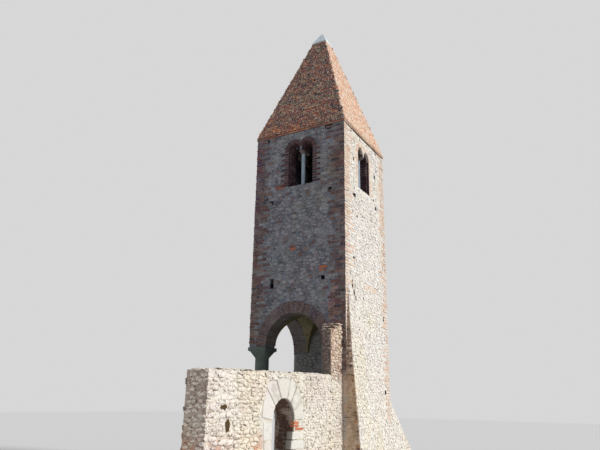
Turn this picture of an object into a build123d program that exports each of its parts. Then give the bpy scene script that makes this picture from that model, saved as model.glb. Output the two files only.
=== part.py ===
from build123d import *
from math import atan2, cos, pi, sin
import os

# A small medieval bell tower of rubble and brick, in millimetres.
# +X runs along the front face from left to right, and the front face looks along -Y.
# Z is height above the ground, and X = Y = 0 is the middle of the tower's plan.

# The square tower, whose storeys are measured one on the other
TOWER = 2800
WALL = 450
ARCH_STOREY = 1450
SHAFT_STOREY = 2890
BELFRY_HEAD = 570

# The open bay at the foot: a pointed brick arch in the front wall and one in the left wall
SPRINGING = 3150
FRONT_ARCH_SPAN = 1640
FRONT_ARCH_RISE = 840
LEFT_ARCH_RISE = 930
ARCH_RING = 300
CORNER_PIER = 500
VAULT_FOOT = 50
VAULT_LIFT = 60

# The stone column that carries the corner between the two arches
COLUMN_DIAMETER = 360
COLUMN_NECK = 400
PLINTH_SIDE = 500
PLINTH_HEIGHT = 300
PLINTH_CHAMFER = 40
CAPITAL_HEIGHT = 170
IMPOST_HEIGHT = 100
IMPOST_PROJECTION = 25
IMPOST_CHAMFER = 25

# The two-light window of each belfry face
WINDOW_WIDTH = 780
LIGHT_FOOT = 20
LIGHT_HEIGHT = 1060
LIGHT_RISE = 245
ORDER_STEP = 45
ORDER_DEPTH = 70
FRONT_WINDOW_SHIFT = 55
RIGHT_WINDOW_SHIFT = -105

# The slim colonnette of each window
COLONNETTE_DIAMETER = 112
COLONNETTE_SETBACK = 175
COLONNETTE_BASE_HEIGHT = 60
COLONNETTE_BASE_FLARE = 22
WINDOW_CAPITAL_HEIGHT = 80
WINDOW_CAPITAL_WIDTH = 170
WINDOW_CAPITAL_DEPTH = 300

# The square holes that the scaffold poles left, as width, height and depth
PUTLOG = 115
PUTLOG_DEPTH = 180
SLOT_HEIGHT = 270

# The brick spire with its projecting eave course and stone cap
EAVE_HEIGHT = 60
EAVE_PROJECTION = 20
SPIRE_PROJECTION = 30
SPIRE_HEIGHT = 4382
SPIRE_SHELL = 260
CAP_DROP = 702
CAP_HEIGHT = 446
CAP_OVERHANG = 10
CAP_EDGE = 40
CAP_TIP = 50

# The thickening of the right face and the raking buttress behind it
BATTER_FOOT = 390
BATTER_TOP_FRONT = 4900
BATTER_TOP_REAR = 1260
BATTER_SET_BACK = 130
BATTER_FLUSH_TOP = 2600
BUTTRESS_WIDTH = 500
BUTTRESS_HEIGHT = 1900
BUTTRESS_REACH = 2150
BUTTRESS_TOE = 80

# The low ruined wall that runs forward from the front face, with its doorway
LOW_WALL = 450
LOW_WALL_INSET = 110
LOW_WALL_LENGTH = 5000
LOW_WALL_FALL = 130
DOOR_WIDTH = 820
DOOR_SPRINGING = 1460
DOOR_DISTANCE = 2630
VOUSSOIR = 350
KEYSTONE_RISE = 40
KEYSTONE_COVER = 82

# The torn remains of the wall's upper part, stepped down from the tower's face
STUB_TOP = 3650
STUB_REACH = 600
STUB_STEPS = 3
STUB_SHOULDER = 3400
STUB_NECK = 210

HALF = TOWER / 2
INSIDE = HALF - WALL
BASE_TOP = SPRINGING + ARCH_STOREY
SILL = BASE_TOP + SHAFT_STOREY
LIGHT_SPRINGING = SILL + LIGHT_HEIGHT
WALL_TOP = LIGHT_SPRINGING + BELFRY_HEAD
COLUMN_CENTRE = CORNER_PIER / 2 - HALF
LIGHT_HALF = (WINDOW_WIDTH / 2 - LIGHT_FOOT) / 2
LIGHT_CENTRE = (WINDOW_WIDTH / 2 + LIGHT_FOOT) / 2
TURN = {"front": 0, "right": 90, "rear": 180, "left": 270}
WINDOW_SHIFT = {"front": FRONT_WINDOW_SHIFT, "right": RIGHT_WINDOW_SHIFT, "rear": 0, "left": 0}

# Putlog holes of each face, as place along the face, height over the window sills and height of the hole
PUTLOGS = {
    "front": [
        (-1049, 1555, PUTLOG),
        (927, 1555, PUTLOG),
        (965, -300, PUTLOG),
        (-853, -390, PUTLOG),
        (765, -2660, PUTLOG),
        (-766, -2695, SLOT_HEIGHT),
    ],
    "right": [
        (705, 740, PUTLOG),
        (-745, -320, PUTLOG),
        (740, -240, PUTLOG),
        (-871, -2125, PUTLOG),
        (1117, -3434, PUTLOG),
        (1093, -5414, PUTLOG),
    ],
    "rear": [(-853, -300, PUTLOG), (853, -390, PUTLOG), (765, -2490, PUTLOG)],
    "left": [(705, -320, PUTLOG), (-745, -240, PUTLOG), (-745, -2125, PUTLOG)],
}


def save(name, shape):
    """Write one named piece as parts/NAME.step."""
    export_step(shape, f"parts/{name}.step")


def block(x, y, z):
    """A box from its lowest and highest place along each axis."""
    size = Box(x[1] - x[0], y[1] - y[0], z[1] - z[0])
    return Pos((x[0] + x[1]) / 2, (y[0] + y[1]) / 2, (z[0] + z[1]) / 2) * size


def run_y(face, y):
    """A profile drawn in X and Z, run between two places along Y."""
    return Pos(0, y[1], 0) * extrude(Plane.XZ * face, y[1] - y[0])


def run_x(face, x):
    """A profile drawn in Y and Z, run between two places along X."""
    return Pos(x[0], 0, 0) * extrude(Plane.YZ * face, x[1] - x[0])


def pointed_arch(middle, springing, half, rise, leg, grow=0):
    """A pointed arch's outline on two arcs, with straight legs, grown outwards by its ring."""
    radius = (half ** 2 + rise ** 2) / (2 * half)
    centre = radius - half
    reach = radius + grow
    top = (reach ** 2 - centre ** 2) ** 0.5
    turn = (pi + atan2(top, -centre)) / 2
    side = (centre + reach * cos(turn), reach * sin(turn))
    foot = reach - centre
    outline = Polyline((-foot, 0), (-foot, -leg), (foot, -leg), (foot, 0))
    outline += ThreePointArc((-foot, 0), side, (0, top))
    outline += ThreePointArc((foot, 0), (-side[0], side[1]), (0, top))
    return Pos(middle, springing) * make_face(outline)


def square_loft(low, high):
    """A straight-sided body between two squares, each given as half its side and its height."""
    ends = [Pos(0, 0, z) * Rectangle(2 * half, 2 * half) for half, z in (low, high)]
    return loft(ends, ruled=True)


def putlog_cut(side):
    """The pockets of one face, turned from the front to their own side."""
    pockets = []
    for x, z, tall in PUTLOGS[side]:
        height = (SILL + z - tall / 2, SILL + z + tall / 2)
        pockets.append(block((x - PUTLOG / 2, x + PUTLOG / 2), (-HALF - 1, PUTLOG_DEPTH - HALF), height))
    return Rot(0, 0, TURN[side]) * Compound(children=pockets)


def with_putlogs(shape, side):
    """A wall piece with those pockets of its face that reach it."""
    for pocket in putlog_cut(side).solids():
        if (shape & pocket):
            shape = shape - pocket
    return shape


def wall_length(side):
    """The front and rear walls take the corners, and the side walls stand between them."""
    return HALF if side in ("front", "rear") else INSIDE


def base_bay():
    """The open bay: closed walls on the right and behind, arches in front and on the left."""
    front_middle = CORNER_PIER - HALF + FRONT_ARCH_SPAN / 2
    left_half = (INSIDE + HALF - CORNER_PIER) / 2
    left_middle = INSIDE - left_half
    pier_face = CORNER_PIER - HALF + FRONT_ARCH_SPAN
    front_y = (-HALF, -INSIDE)
    left_x = (-HALF, -INSIDE)
    storey = (SPRINGING, BASE_TOP)

    front_arch = (front_middle, SPRINGING, FRONT_ARCH_SPAN / 2, FRONT_ARCH_RISE)
    left_arch = (left_middle, SPRINGING, left_half, LEFT_ARCH_RISE)
    front_whole = run_y(pointed_arch(*front_arch, leg=1, grow=ARCH_RING), front_y)
    left_whole = run_x(pointed_arch(*left_arch, leg=1, grow=ARCH_RING), left_x)
    above = block((-TOWER, TOWER), (-TOWER, TOWER), storey)
    front_ring = (front_whole - run_y(pointed_arch(*front_arch, leg=10), front_y)) & above
    left_ring = (left_whole - run_x(pointed_arch(*left_arch, leg=10), left_x)) & above
    left_ring = left_ring - front_ring

    save("front_arch_ring", front_ring)
    save("left_arch_ring", left_ring)
    front_wall = block((-HALF, HALF), front_y, storey)
    save("front_arch_wall", with_putlogs(front_wall - front_whole - left_whole, "front"))
    left_wall = block(left_x, (-INSIDE, INSIDE), storey) - left_whole
    save("left_arch_wall", with_putlogs(left_wall, "left"))
    save("front_right_pier", with_putlogs(block((pier_face, HALF), front_y, (0, SPRINGING)), "front"))
    rear_wall = block((-HALF, HALF), (INSIDE, HALF), (0, BASE_TOP)) - (left_whole & above)
    save("base_rear_wall", with_putlogs(rear_wall, "right"))
    right_wall = block((INSIDE, HALF), (-INSIDE, INSIDE), (0, BASE_TOP))
    save("base_right_wall", with_putlogs(right_wall, "right"))

    # Two half-round barrels that cross leave the four webs of the groin vault.
    vault_foot = SPRINGING + VAULT_LIFT
    barrel = Pos(0, 0, vault_foot) * Rot(90, 0, 0) * Cylinder(INSIDE - VAULT_FOOT, TOWER)
    vault = block((-INSIDE, INSIDE), (-INSIDE, INSIDE), (vault_foot, BASE_TOP))
    save("base_vault", vault - barrel - Rot(0, 0, 90) * barrel)


def corner_column():
    """The stone column under the corner: plinth, swelling shaft, capital and impost."""
    here = Pos(COLUMN_CENTRE, COLUMN_CENTRE, 0)
    impost_bottom = SPRINGING - IMPOST_HEIGHT
    shaft_top = impost_bottom - CAPITAL_HEIGHT
    impost_side = CORNER_PIER + 2 * IMPOST_PROJECTION

    plinth = Pos(0, 0, PLINTH_HEIGHT / 2) * Box(PLINTH_SIDE, PLINTH_SIDE, PLINTH_HEIGHT)
    plinth = chamfer(plinth.faces().sort_by(Axis.Z)[-1].edges(), PLINTH_CHAMFER)
    save("column_plinth", here * plinth)

    foot = COLUMN_NECK / 2
    waist = COLUMN_DIAMETER / 2
    profile = Polyline((foot, PLINTH_HEIGHT), (0, PLINTH_HEIGHT), (0, shaft_top), (waist, shaft_top))
    swell = (waist + (foot - waist) * 0.3, (PLINTH_HEIGHT + shaft_top) / 2)
    profile += ThreePointArc((waist, shaft_top), swell, (foot, PLINTH_HEIGHT))
    save("column_shaft", here * revolve(Plane.XZ * make_face(profile), Axis.Z))

    rounded = RectangleRounded(impost_side - 2 * IMPOST_CHAMFER, impost_side - 2 * IMPOST_CHAMFER, 60)
    capital = loft([Pos(0, 0, shaft_top) * Circle(waist), Pos(0, 0, impost_bottom) * rounded])
    save("column_capital", here * capital)

    impost = Pos(0, 0, SPRINGING - IMPOST_HEIGHT / 2) * Box(impost_side, impost_side, IMPOST_HEIGHT)
    impost = chamfer(impost.faces().sort_by(Axis.Z)[0].edges(), IMPOST_CHAMFER)
    save("column_impost", here * impost)


def shaft_walls():
    """The four plain walls between the bay and the belfry."""
    for side, turn in TURN.items():
        reach = wall_length(side)
        wall = Rot(0, 0, turn) * block((-reach, reach), (-HALF, -INSIDE), (BASE_TOP, SILL))
        save(f"{side}_shaft_wall", with_putlogs(wall, side))


def belfry_side(side):
    """One belfry wall: two piers, the head with its twin arches, the colonnette and its capital."""
    here = Rot(0, 0, TURN[side])
    shift = WINDOW_SHIFT[side]
    reach = wall_length(side)
    outer = WINDOW_WIDTH / 2
    inner = outer - ORDER_STEP
    face = (-HALF, ORDER_DEPTH - HALF)
    body = (ORDER_DEPTH - HALF, -INSIDE)

    jambs = (SILL, LIGHT_SPRINGING)
    left_pier = block((-reach, shift - outer), face, jambs) + block((-reach, shift - inner), body, jambs)
    right_pier = block((shift + outer, reach), face, jambs) + block((shift + inner, reach), body, jambs)
    piers = [with_putlogs(here * pier, side) for pier in (left_pier, right_pier)]
    save(f"{side}_belfry_piers", Compound(children=[pier.solid() for pier in piers]))

    head = block((-reach, reach), (-HALF, -INSIDE), (LIGHT_SPRINGING, WALL_TOP))
    for middle in (shift - LIGHT_CENTRE, shift + LIGHT_CENTRE):
        light = pointed_arch(middle, LIGHT_SPRINGING, LIGHT_HALF, LIGHT_RISE, leg=1)
        core = pointed_arch(middle, LIGHT_SPRINGING, LIGHT_HALF, LIGHT_RISE, leg=1, grow=-ORDER_STEP)
        head = head - run_y(light, face) - run_y(core, body)
    save(f"{side}_belfry_head", with_putlogs(here * head, side))

    capital_bottom = LIGHT_SPRINGING - WINDOW_CAPITAL_HEIGHT
    radius = COLONNETTE_DIAMETER / 2
    flare = radius + COLONNETTE_BASE_FLARE
    base_top = SILL + COLONNETTE_BASE_HEIGHT
    shaft_top = (radius, capital_bottom)
    profile = Polyline((flare, SILL), (0, SILL), (0, capital_bottom), shaft_top, (radius, base_top))
    profile += TangentArc((radius, base_top), (flare, base_top - 2 * COLONNETTE_BASE_FLARE), tangent=(0, -1))
    profile += Line((flare, base_top - 2 * COLONNETTE_BASE_FLARE), (flare, SILL))
    middle = here * Pos(shift, COLONNETTE_SETBACK - HALF, 0)
    save(f"{side}_colonnette", middle * revolve(Plane.XZ * make_face(profile), Axis.Z))

    low = Pos(0, 0, capital_bottom) * Circle(radius)
    high = Pos(0, 0, LIGHT_SPRINGING) * RectangleRounded(WINDOW_CAPITAL_WIDTH, WINDOW_CAPITAL_DEPTH, 15)
    save(f"{side}_capital", middle * loft([low, high]))


def spire():
    """The projecting eave course, the hollow brick pyramid and the stone that closes it."""
    course_top = WALL_TOP + EAVE_HEIGHT
    course = block(*[(-HALF - EAVE_PROJECTION, HALF + EAVE_PROJECTION)] * 2, (WALL_TOP, course_top))
    save("eave_course", course - block(*[(-INSIDE, INSIDE)] * 2, (WALL_TOP, course_top)))

    foot = HALF + SPIRE_PROJECTION
    slope = foot / SPIRE_HEIGHT
    top = slope * CAP_DROP
    cap_bottom = course_top + SPIRE_HEIGHT - CAP_DROP
    hollow_foot = foot - SPIRE_SHELL
    hollow_top = 5
    hollow_height = (hollow_foot - hollow_top) / slope
    outside = square_loft((foot, course_top), (top, cap_bottom))
    inside = square_loft((hollow_foot, course_top), (hollow_top, course_top + hollow_height))
    save("spire", outside - inside)

    edge = top + CAP_OVERHANG
    cap = square_loft((edge, cap_bottom), (edge, cap_bottom + CAP_EDGE))
    cap = cap + square_loft((edge, cap_bottom + CAP_EDGE), (CAP_TIP / 2, cap_bottom + CAP_HEIGHT))
    save("cap_stone", cap)


def thickening():
    """The sloping skin added to the right face, and the raking buttress behind the tower."""
    top_front = Vector(HALF, -HALF, BATTER_TOP_FRONT)
    top_rear = Vector(HALF, HALF, BATTER_TOP_REAR)
    foot_front = Vector(HALF + BATTER_FOOT, -HALF, 0)
    slope = Plane(origin=top_front, z_dir=(foot_front - top_front).cross(top_rear - top_front))
    whole = block((HALF, HALF + BATTER_FOOT), (-HALF, HALF), (0, BATTER_TOP_FRONT))
    skin = split(whole, bisect_by=slope, keep=Keep.BOTTOM)

    # Above its flush part the skin's front leans back, so a strip of the tower's own face shows.
    lean = [
        (-HALF, BATTER_FLUSH_TOP),
        (-HALF, BATTER_TOP_FRONT),
        (BATTER_SET_BACK - HALF, BATTER_TOP_FRONT),
    ]
    save("corner_batter", skin - run_x(make_face(Polyline(*lean, close=True)), (HALF, HALF + BATTER_FOOT)))

    outline = [
        (HALF, 0),
        (HALF + BUTTRESS_REACH, 0),
        (HALF + BUTTRESS_REACH, BUTTRESS_TOE),
        (HALF, BUTTRESS_HEIGHT),
    ]
    profile = make_face(Polyline(*outline, close=True))
    save("rear_buttress", run_x(profile, (HALF - BUTTRESS_WIDTH, HALF)))


def low_wall():
    """The ruined wall in front: a length on each side of the doorway, its head, its arch and the stub."""
    thick = (HALF - LOW_WALL_INSET - LOW_WALL, HALF - LOW_WALL_INSET)
    near = -HALF
    far = -HALF - LOW_WALL_LENGTH
    middle = -HALF - DOOR_DISTANCE
    jamb = DOOR_WIDTH / 2
    key_top = jamb + VOUSSOIR + KEYSTONE_RISE

    def top(y):
        """The height of the wall's ruined top, which covers the keystone and falls away from the tower."""
        over_door = DOOR_SPRINGING + key_top + KEYSTONE_COVER
        return over_door + LOW_WALL_FALL * (y - middle) / LOW_WALL_LENGTH

    def length(name, end, side):
        """A length of wall from its far end to the jamb, cut back above the springing for the head."""
        shoulder = middle + side * key_top
        outline = [
            (end, 0),
            (middle + side * jamb, 0),
            (middle + side * jamb, DOOR_SPRINGING),
            (shoulder, DOOR_SPRINGING),
            (shoulder, top(shoulder)),
            (end, top(end)),
        ]
        save(name, run_x(make_face(Polyline(*outline, close=True)), thick))

    length("low_wall_near", near, 1)
    length("low_wall_far", far, -1)

    ends = (middle - key_top, middle + key_top)
    outline = [
        (ends[0], DOOR_SPRINGING),
        (ends[1], DOOR_SPRINGING),
        (ends[1], top(ends[1])),
        (ends[0], top(ends[0])),
    ]
    head = run_x(make_face(Polyline(*outline, close=True)), thick)
    above = block(thick, (far, near), (DOOR_SPRINGING, top(near)))
    centre = Pos((thick[0] + thick[1]) / 2, middle, DOOR_SPRINGING) * Rot(0, 90, 0)
    disc = centre * Cylinder(jamb + VOUSSOIR, LOW_WALL)
    hole = centre * Cylinder(jamb, LOW_WALL)
    key_angle = pi / 10
    wedge = [
        (middle, DOOR_SPRINGING),
        (middle + key_top * sin(key_angle), DOOR_SPRINGING + key_top * cos(key_angle)),
        (middle - key_top * sin(key_angle), DOOR_SPRINGING + key_top * cos(key_angle)),
    ]
    ring = disc + run_x(make_face(Polyline(*wedge, close=True)), thick)
    save("low_wall_head", head - ring)
    save("doorway_arch", (ring - hole) & above)

    # The torn stub is stepped in elevation and cut back on its inner side.
    steps = [(near, top(near)), (near, STUB_TOP)]
    for step in range(STUB_STEPS):
        y = near - STUB_REACH * (step + 1) / STUB_STEPS
        z = STUB_TOP - (STUB_TOP - STUB_SHOULDER) * (step + 0.5) / STUB_STEPS
        steps += [(steps[-1][0], z), (y, z)]
    steps.append((near - STUB_REACH, top(near - STUB_REACH)))
    elevation = run_x(make_face(Polyline(*steps, close=True)), thick)
    plan = [
        (thick[0], near),
        (thick[1], near),
        (thick[1], near - STUB_REACH),
        (thick[1] - STUB_NECK, near - STUB_REACH),
    ]
    footprint = extrude(make_face(Polyline(*plan, close=True)), STUB_TOP)
    save("wall_stub", elevation & footprint)


os.makedirs("parts", exist_ok=True)
base_bay()
corner_column()
shaft_walls()
for face_name in TURN:
    belfry_side(face_name)
spire()
thickening()
low_wall()
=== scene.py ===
import bpy
import math
from functools import reduce
from itertools import product
from operator import mul

import numpy as np
from mathutils import Matrix, Vector


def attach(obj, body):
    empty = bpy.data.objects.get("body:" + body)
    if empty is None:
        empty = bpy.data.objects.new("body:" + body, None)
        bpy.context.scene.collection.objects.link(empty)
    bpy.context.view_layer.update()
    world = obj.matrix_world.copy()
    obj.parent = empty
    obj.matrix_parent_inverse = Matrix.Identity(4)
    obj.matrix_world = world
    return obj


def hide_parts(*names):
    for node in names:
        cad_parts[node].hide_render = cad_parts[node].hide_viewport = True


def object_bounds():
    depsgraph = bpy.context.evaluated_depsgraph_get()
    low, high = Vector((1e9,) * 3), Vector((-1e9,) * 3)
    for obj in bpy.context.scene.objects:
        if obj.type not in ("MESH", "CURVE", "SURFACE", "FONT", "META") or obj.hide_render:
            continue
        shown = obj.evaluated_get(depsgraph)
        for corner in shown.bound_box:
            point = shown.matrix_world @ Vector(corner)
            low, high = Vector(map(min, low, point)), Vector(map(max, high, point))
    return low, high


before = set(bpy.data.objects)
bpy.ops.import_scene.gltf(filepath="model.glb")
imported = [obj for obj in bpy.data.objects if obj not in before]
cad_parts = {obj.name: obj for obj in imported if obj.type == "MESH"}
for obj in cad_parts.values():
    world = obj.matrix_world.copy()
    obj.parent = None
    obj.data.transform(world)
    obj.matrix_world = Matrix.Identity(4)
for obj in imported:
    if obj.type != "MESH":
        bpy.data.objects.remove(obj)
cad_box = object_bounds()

# The view: the tower is seen from eye height on the right of its front, looking up at it from 13.5 m away.
# The camera's place, turn and lens were fitted to the tower's own edges, and its frame is 600 by 450.
FRAME_WIDTH, FOCAL, SENSOR = 600, 550, 36
eye = Vector((7.066, -13.580, 1.8))
yaw, pitch, roll = (math.radians(a) for a in (29.856, 17.85, 0.977))
look = Vector((-math.sin(yaw) * math.cos(pitch), math.cos(yaw) * math.cos(pitch), math.sin(pitch)))
level = Vector((math.cos(yaw), math.sin(yaw), 0))
over = level.cross(look)
across = level * math.cos(roll) + over * math.sin(roll)
upright = over * math.cos(roll) - level * math.sin(roll)


def stand(name, data):
    """Puts a new object in the scene."""
    made = bpy.data.objects.new(name, data)
    bpy.context.scene.collection.objects.link(made)
    return made


camera = stand("camera", bpy.data.cameras.new("camera"))
camera.data.sensor_width = SENSOR
camera.data.lens = SENSOR * FOCAL / FRAME_WIDTH
camera.data.clip_end = 400
camera.matrix_world = Matrix.Translation(eye) @ Matrix((across, upright, -look)).transposed().to_4x4()
bpy.context.scene.camera = camera
bpy.context.scene.view_settings.view_transform = "Standard"


class Link:
    """A shader socket. Arithmetic on it adds Math nodes, and node() adds any other node to its tree."""

    def __init__(self, tree, socket=None):
        self.tree, self.socket = tree, socket

    def node(self, kind, inputs=(), output=0, stops=(), **settings):
        made = self.tree.nodes.new("ShaderNode" + kind)
        for name, value in settings.items():
            setattr(made, name, value)
        if stops:
            elements = made.color_ramp.elements
            while len(elements) < len(stops):
                elements.new(1)
            for element, (place, colour) in zip(elements, stops):
                element.position, element.color = place, colour
        for name, value in dict(inputs).items():
            if isinstance(value, Link):
                self.tree.links.new(value.socket, made.inputs[name])
            else:
                made.inputs[name].default_value = value
        return Link(self.tree, made.outputs[output])

    def maths(self, operation, *values):
        return self.node("Math", dict(enumerate(values)), operation=operation)

    def __add__(self, other):
        return self.maths("ADD", self, other)

    __radd__ = __add__

    def __sub__(self, other):
        return self.maths("SUBTRACT", self, other)

    def __rsub__(self, other):
        return self.maths("SUBTRACT", other, self)

    def __mul__(self, other):
        return self.maths("MULTIPLY", self, other)

    __rmul__ = __mul__

    def either(self, other):
        """The greater of two masks."""
        return self.maths("MAXIMUM", self, other)

    def blend(self, first, second, kind="MIX"):
        """Colour first where this mask is 0 and colour second where it is 1."""
        return self.node("Mix", {0: self, 6: first, 7: second}, 2, data_type="RGBA", blend_type=kind)

    def darken(self, colour, by):
        """A colour that is multiplied by another where this mask is 1."""
        return self.blend(colour, by, "MULTIPLY")

    def band(self, low, high):
        """A mask that climbs from 0 to 1 while this value goes from low to high."""
        return self.node("MapRange", {0: self, 1: low, 2: high}, clamp=True)

    def axis(self, name):
        return self.node("SeparateXYZ", {0: self}, name)

    def within(self, **spans):
        """A mask that climbs from 0 to 1 over the span given for each axis."""
        return reduce(mul, [self.axis(name).band(*span) for name, span in spans.items()])

    def drawn(self, *scale):
        """This place on a pattern that is scaled along its three axes."""
        return self.node("Mapping", {"Vector": self, "Scale": scale})

    def noise(self, scale, detail=2.0, roughness=0.5, distortion=0.0, output=0):
        """A cloudy pattern, with so many clouds to the metre."""
        return self.node("TexNoise", {"Vector": self, "Scale": scale, "Detail": detail, "Roughness": roughness,
                                      "Distortion": distortion}, output)


def tone(colour, share=1.0):
    """A colour given as the eye reads it, from 0 to 255, or a share of it, as the shader needs it."""
    parts = [c * share for c in colour]
    return (*[c / 255 / 12.92 if c < 11 else ((c / 255 + 0.055) / 1.055) ** 2.4 for c in parts], 1)


def finish(name, specular=0.3):
    """A new material and the place on the object that its pattern goes by."""
    material = bpy.data.materials.new(name)
    material.use_nodes = True
    material.node_tree.nodes["Principled BSDF"].inputs["Specular IOR Level"].default_value = specular
    return material, Link(material.node_tree).node("TexCoord", output="Object")


def wear(material, colour, roughness, height, depth):
    """Sets what a surface shows: its colour, its roughness and the small relief of its grain."""
    bump = height.node("Bump", {"Height": height, "Strength": 1.0, "Distance": depth})
    for name, value in (("Base Color", colour), ("Roughness", roughness), ("Normal", bump)):
        height.tree.links.new(value.socket, material.node_tree.nodes["Principled BSDF"].inputs[name])
    return material


# The studio: a pale floor that the tower stands on, a plain pale backdrop, a broad soft lamp high on the right
# and an even fill from all round, so that the right side is light and the front lies in open shade.
FLOOR_REACH = 60
FILL = 0.30
BACKDROP = 0.68
LAMP = 2.5
LAMP_SPREAD = math.radians(16)
LAMP_FROM = Vector((0.78, 0.12, 0.61))
floor_mesh = bpy.data.meshes.new("floor")
floor_corners = [(x * FLOOR_REACH, y * FLOOR_REACH, 0) for x, y in ((-1, -1), (1, -1), (1, 1), (-1, 1))]
floor_mesh.from_pydata(floor_corners, [], [(0, 1, 2, 3)])
floor_finish, _ = finish("studio_floor", 0.1)
floor_surface = floor_finish.node_tree.nodes["Principled BSDF"].inputs
floor_surface["Base Color"].default_value = (0.8, 0.8, 0.8, 1)
floor_surface["Roughness"].default_value = 0.9
floor_mesh.materials.append(floor_finish)
stand("floor", floor_mesh)

world = bpy.data.worlds.new("studio")
world.use_nodes = True
bpy.context.scene.world = world
studio = Link(world.node_tree)
seen = studio.node("LightPath", output="Is Camera Ray").either(studio.node("LightPath", output="Is Glossy Ray"))
backdrop = world.node_tree.nodes["Background"].inputs
backdrop["Color"].default_value = (1, 1, 1, 1)
world.node_tree.links.new((seen * (BACKDROP - FILL) + FILL).socket, backdrop["Strength"])

lamp = stand("lamp", bpy.data.lights.new("lamp", "SUN"))
lamp.data.energy = LAMP
lamp.data.angle = LAMP_SPREAD
lamp.rotation_euler = LAMP_FROM.to_track_quat("Z", "Y").to_euler()


# The masonry's bed: lime mortar over the rubble core of every wall, grey and damp on the shaded sides and
# cream where the sun lies on it, both partly painted light: painted shade on the shaded sides and painted
# sunlight on the sunlit ones. The solid walls carry it, and the stones are set into it.
def looks(place, axis="X"):
    """How far a surface looks along an axis, from -1 to 1."""
    return place.node("NewGeometry", output="Normal").axis(axis)


def on_right_face(place):
    """A mask that is 1 on the tower's sunlit right side, by where a surface lies and which way it looks, where colours
    are painted as sunlit.
    """
    return looks(place).band(0.5, 0.8) * place.within(X=(1.30, 1.38))


def in_the_sun(place):
    """A mask that is 1 wherever the masonry looks to the right or up, where colours are painted as sunlit."""
    return looks(place).band(0.3, 0.5).either(looks(place, "Z").band(0.3, 0.5))


def open_joints(place, size=(8.0, 8.0, 34.0), least=0.615):
    """A mask of short level gaps, where the mortar has fallen out between flat stones."""
    return place.drawn(*size).noise(1.0, 3.0, 0.55).band(least, least + 0.04)


RAGGED = 0.09


def hollows(place, axis, spots):
    """A mask of ragged hollows in a face, each given by its middle, width and height on it. The face stays flat, and
    the dark colour laid on it is painted shade standing in for the hollow.
    """
    edge = place.noise(16.0, 3.0, output="Color")
    moved = place.node("VectorMath", {0: edge, 1: (RAGGED,) * 3, 2: place}, operation="MULTIPLY_ADD")
    along, up = [moved.axis(name) - RAGGED / 2 for name in (axis, "Z")]
    masks = []
    for middle, level, wide, tall in spots:
        side, rise = (along - middle) * (2 / wide), (up - level) * (2 / tall)
        masks.append((side * side + rise * rise).band(1.2, 0.8))
    return reduce(Link.either, masks)


def smeared(place, colour, pale, dark, share=0.6):
    """The colour of masonry under smears of old render and damp streaks that run over stones and mortar alike."""
    drawn = place.drawn(1.0, 1.0, 0.6)
    render = place.noise(3.4, 7.0, 0.68).band(0.50, 0.60) * share
    damp = drawn.noise(2.6, 7.0, 0.66).band(0.50, 0.60) * share
    warm = drawn.noise(1.1, 4.0, 0.60).band(0.48, 0.60)
    return damp.darken(warm.darken(render.blend(colour, pale), (1.0, 0.98, 0.91, 1)), dark)


def mortar(name, pale, dark, pit, painted_sunlit, sun, smear=None, dashes=None, gone=(), coats_and_painted_shade=()):
    """Sandy lime mortar with broad stains, grains and small pits, with hollows in it, painted paler as sunlit where
    the sun mask is 1 and darker as shaded elsewhere.

    Later layers of other colours may lie over some places, and painted shade darkens others."""
    material, place = finish(name, 0.15)
    sunny = sun(place)
    # Painted light: each colour has a shaded copy and a paler sunlit copy, and the sun mask picks between them.
    pale, dark, light, pit = [
        sunny.blend(tone(shade, own), tone(painted_sunlit, share))
        for shade, own, share in ((pale, 1, 1), (dark, 1, 0.95), (pale, 0.80, 0.88), (pit, 1, 0.50))]
    # These masks lay later colours over some places and painted shade over others: the near black inside the belfry
    # and the brown inside the doorway.
    for where, smooth, rough in coats_and_painted_shade:
        laid_over_mask = where(place)
        pale, dark, light = [laid_over_mask.blend(under, tone(over))
                             for under, over in ((pale, smooth), (dark, rough), (light, rough))]
    stain = place.noise(1.7, 4.0)
    grains = place.noise(19.0, 5.0, 0.62)
    holes = place.noise(42.0).band(0.60, 0.68)
    colour = grains.band(0.40, 0.72).blend(stain.band(0.38, 0.62).blend(pale, dark), light)
    if smear:
        # The damp streaks darken the shaded side more than the sunlit one, as painted shade.
        damp = sunny.blend((0.78, 0.75, 0.78, 1), (0.93, 0.89, 0.86, 1))
        colour = smeared(place, colour, sunny.blend(tone(smear), tone(painted_sunlit)), damp)
    colour = (holes * 0.8).blend(colour, pit)
    if dashes:
        colour = (open_joints(place) * 0.85).blend(colour, sunny.blend(tone(dashes, 0.7), tone(dashes)))
    # Painted shade: unmodelled hollows are painted dark on the faces that look their way.
    for axis, way, sign, spots, deep in gone:
        facing = (looks(place, way) * sign).band(0.5, 0.8)
        colour = (facing * hollows(place, axis, spots)).blend(colour, tone(deep))
    height = grains + place.noise(160.0, 3.0) * 0.25 - holes * 0.5
    return wear(material, colour, stain * 0.1 + 0.85, height, 0.012)


def inside_belfry(place, skin=1.38, fade=0.03):
    """A mask that is 1 inside the belfry and its windows, behind the outer skin of the walls, where colours are
    darkened as painted shade.
    """
    low, high = (-skin, fade - skin), (skin, skin - fade)
    return place.within(X=low, Y=low, Z=(4.5, 4.7)) * place.within(X=high, Y=high, Z=(9.14, 9.10))


def beside_thickening(place):
    """A mask that is 1 low down at the front's right corner, where brown mortar runs on from the thickening."""
    return place.within(X=(1.26, 1.30), Y=(-1.33, -1.37), Z=(2.75, 2.5))


def thickening_front(place):
    """A mask that is 1 low on the shaded front of the thickening, where the mortar is browner."""
    return place.within(X=(1.38, 1.41), Y=(-1.34, -1.38), Z=(2.75, 2.55))


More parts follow.
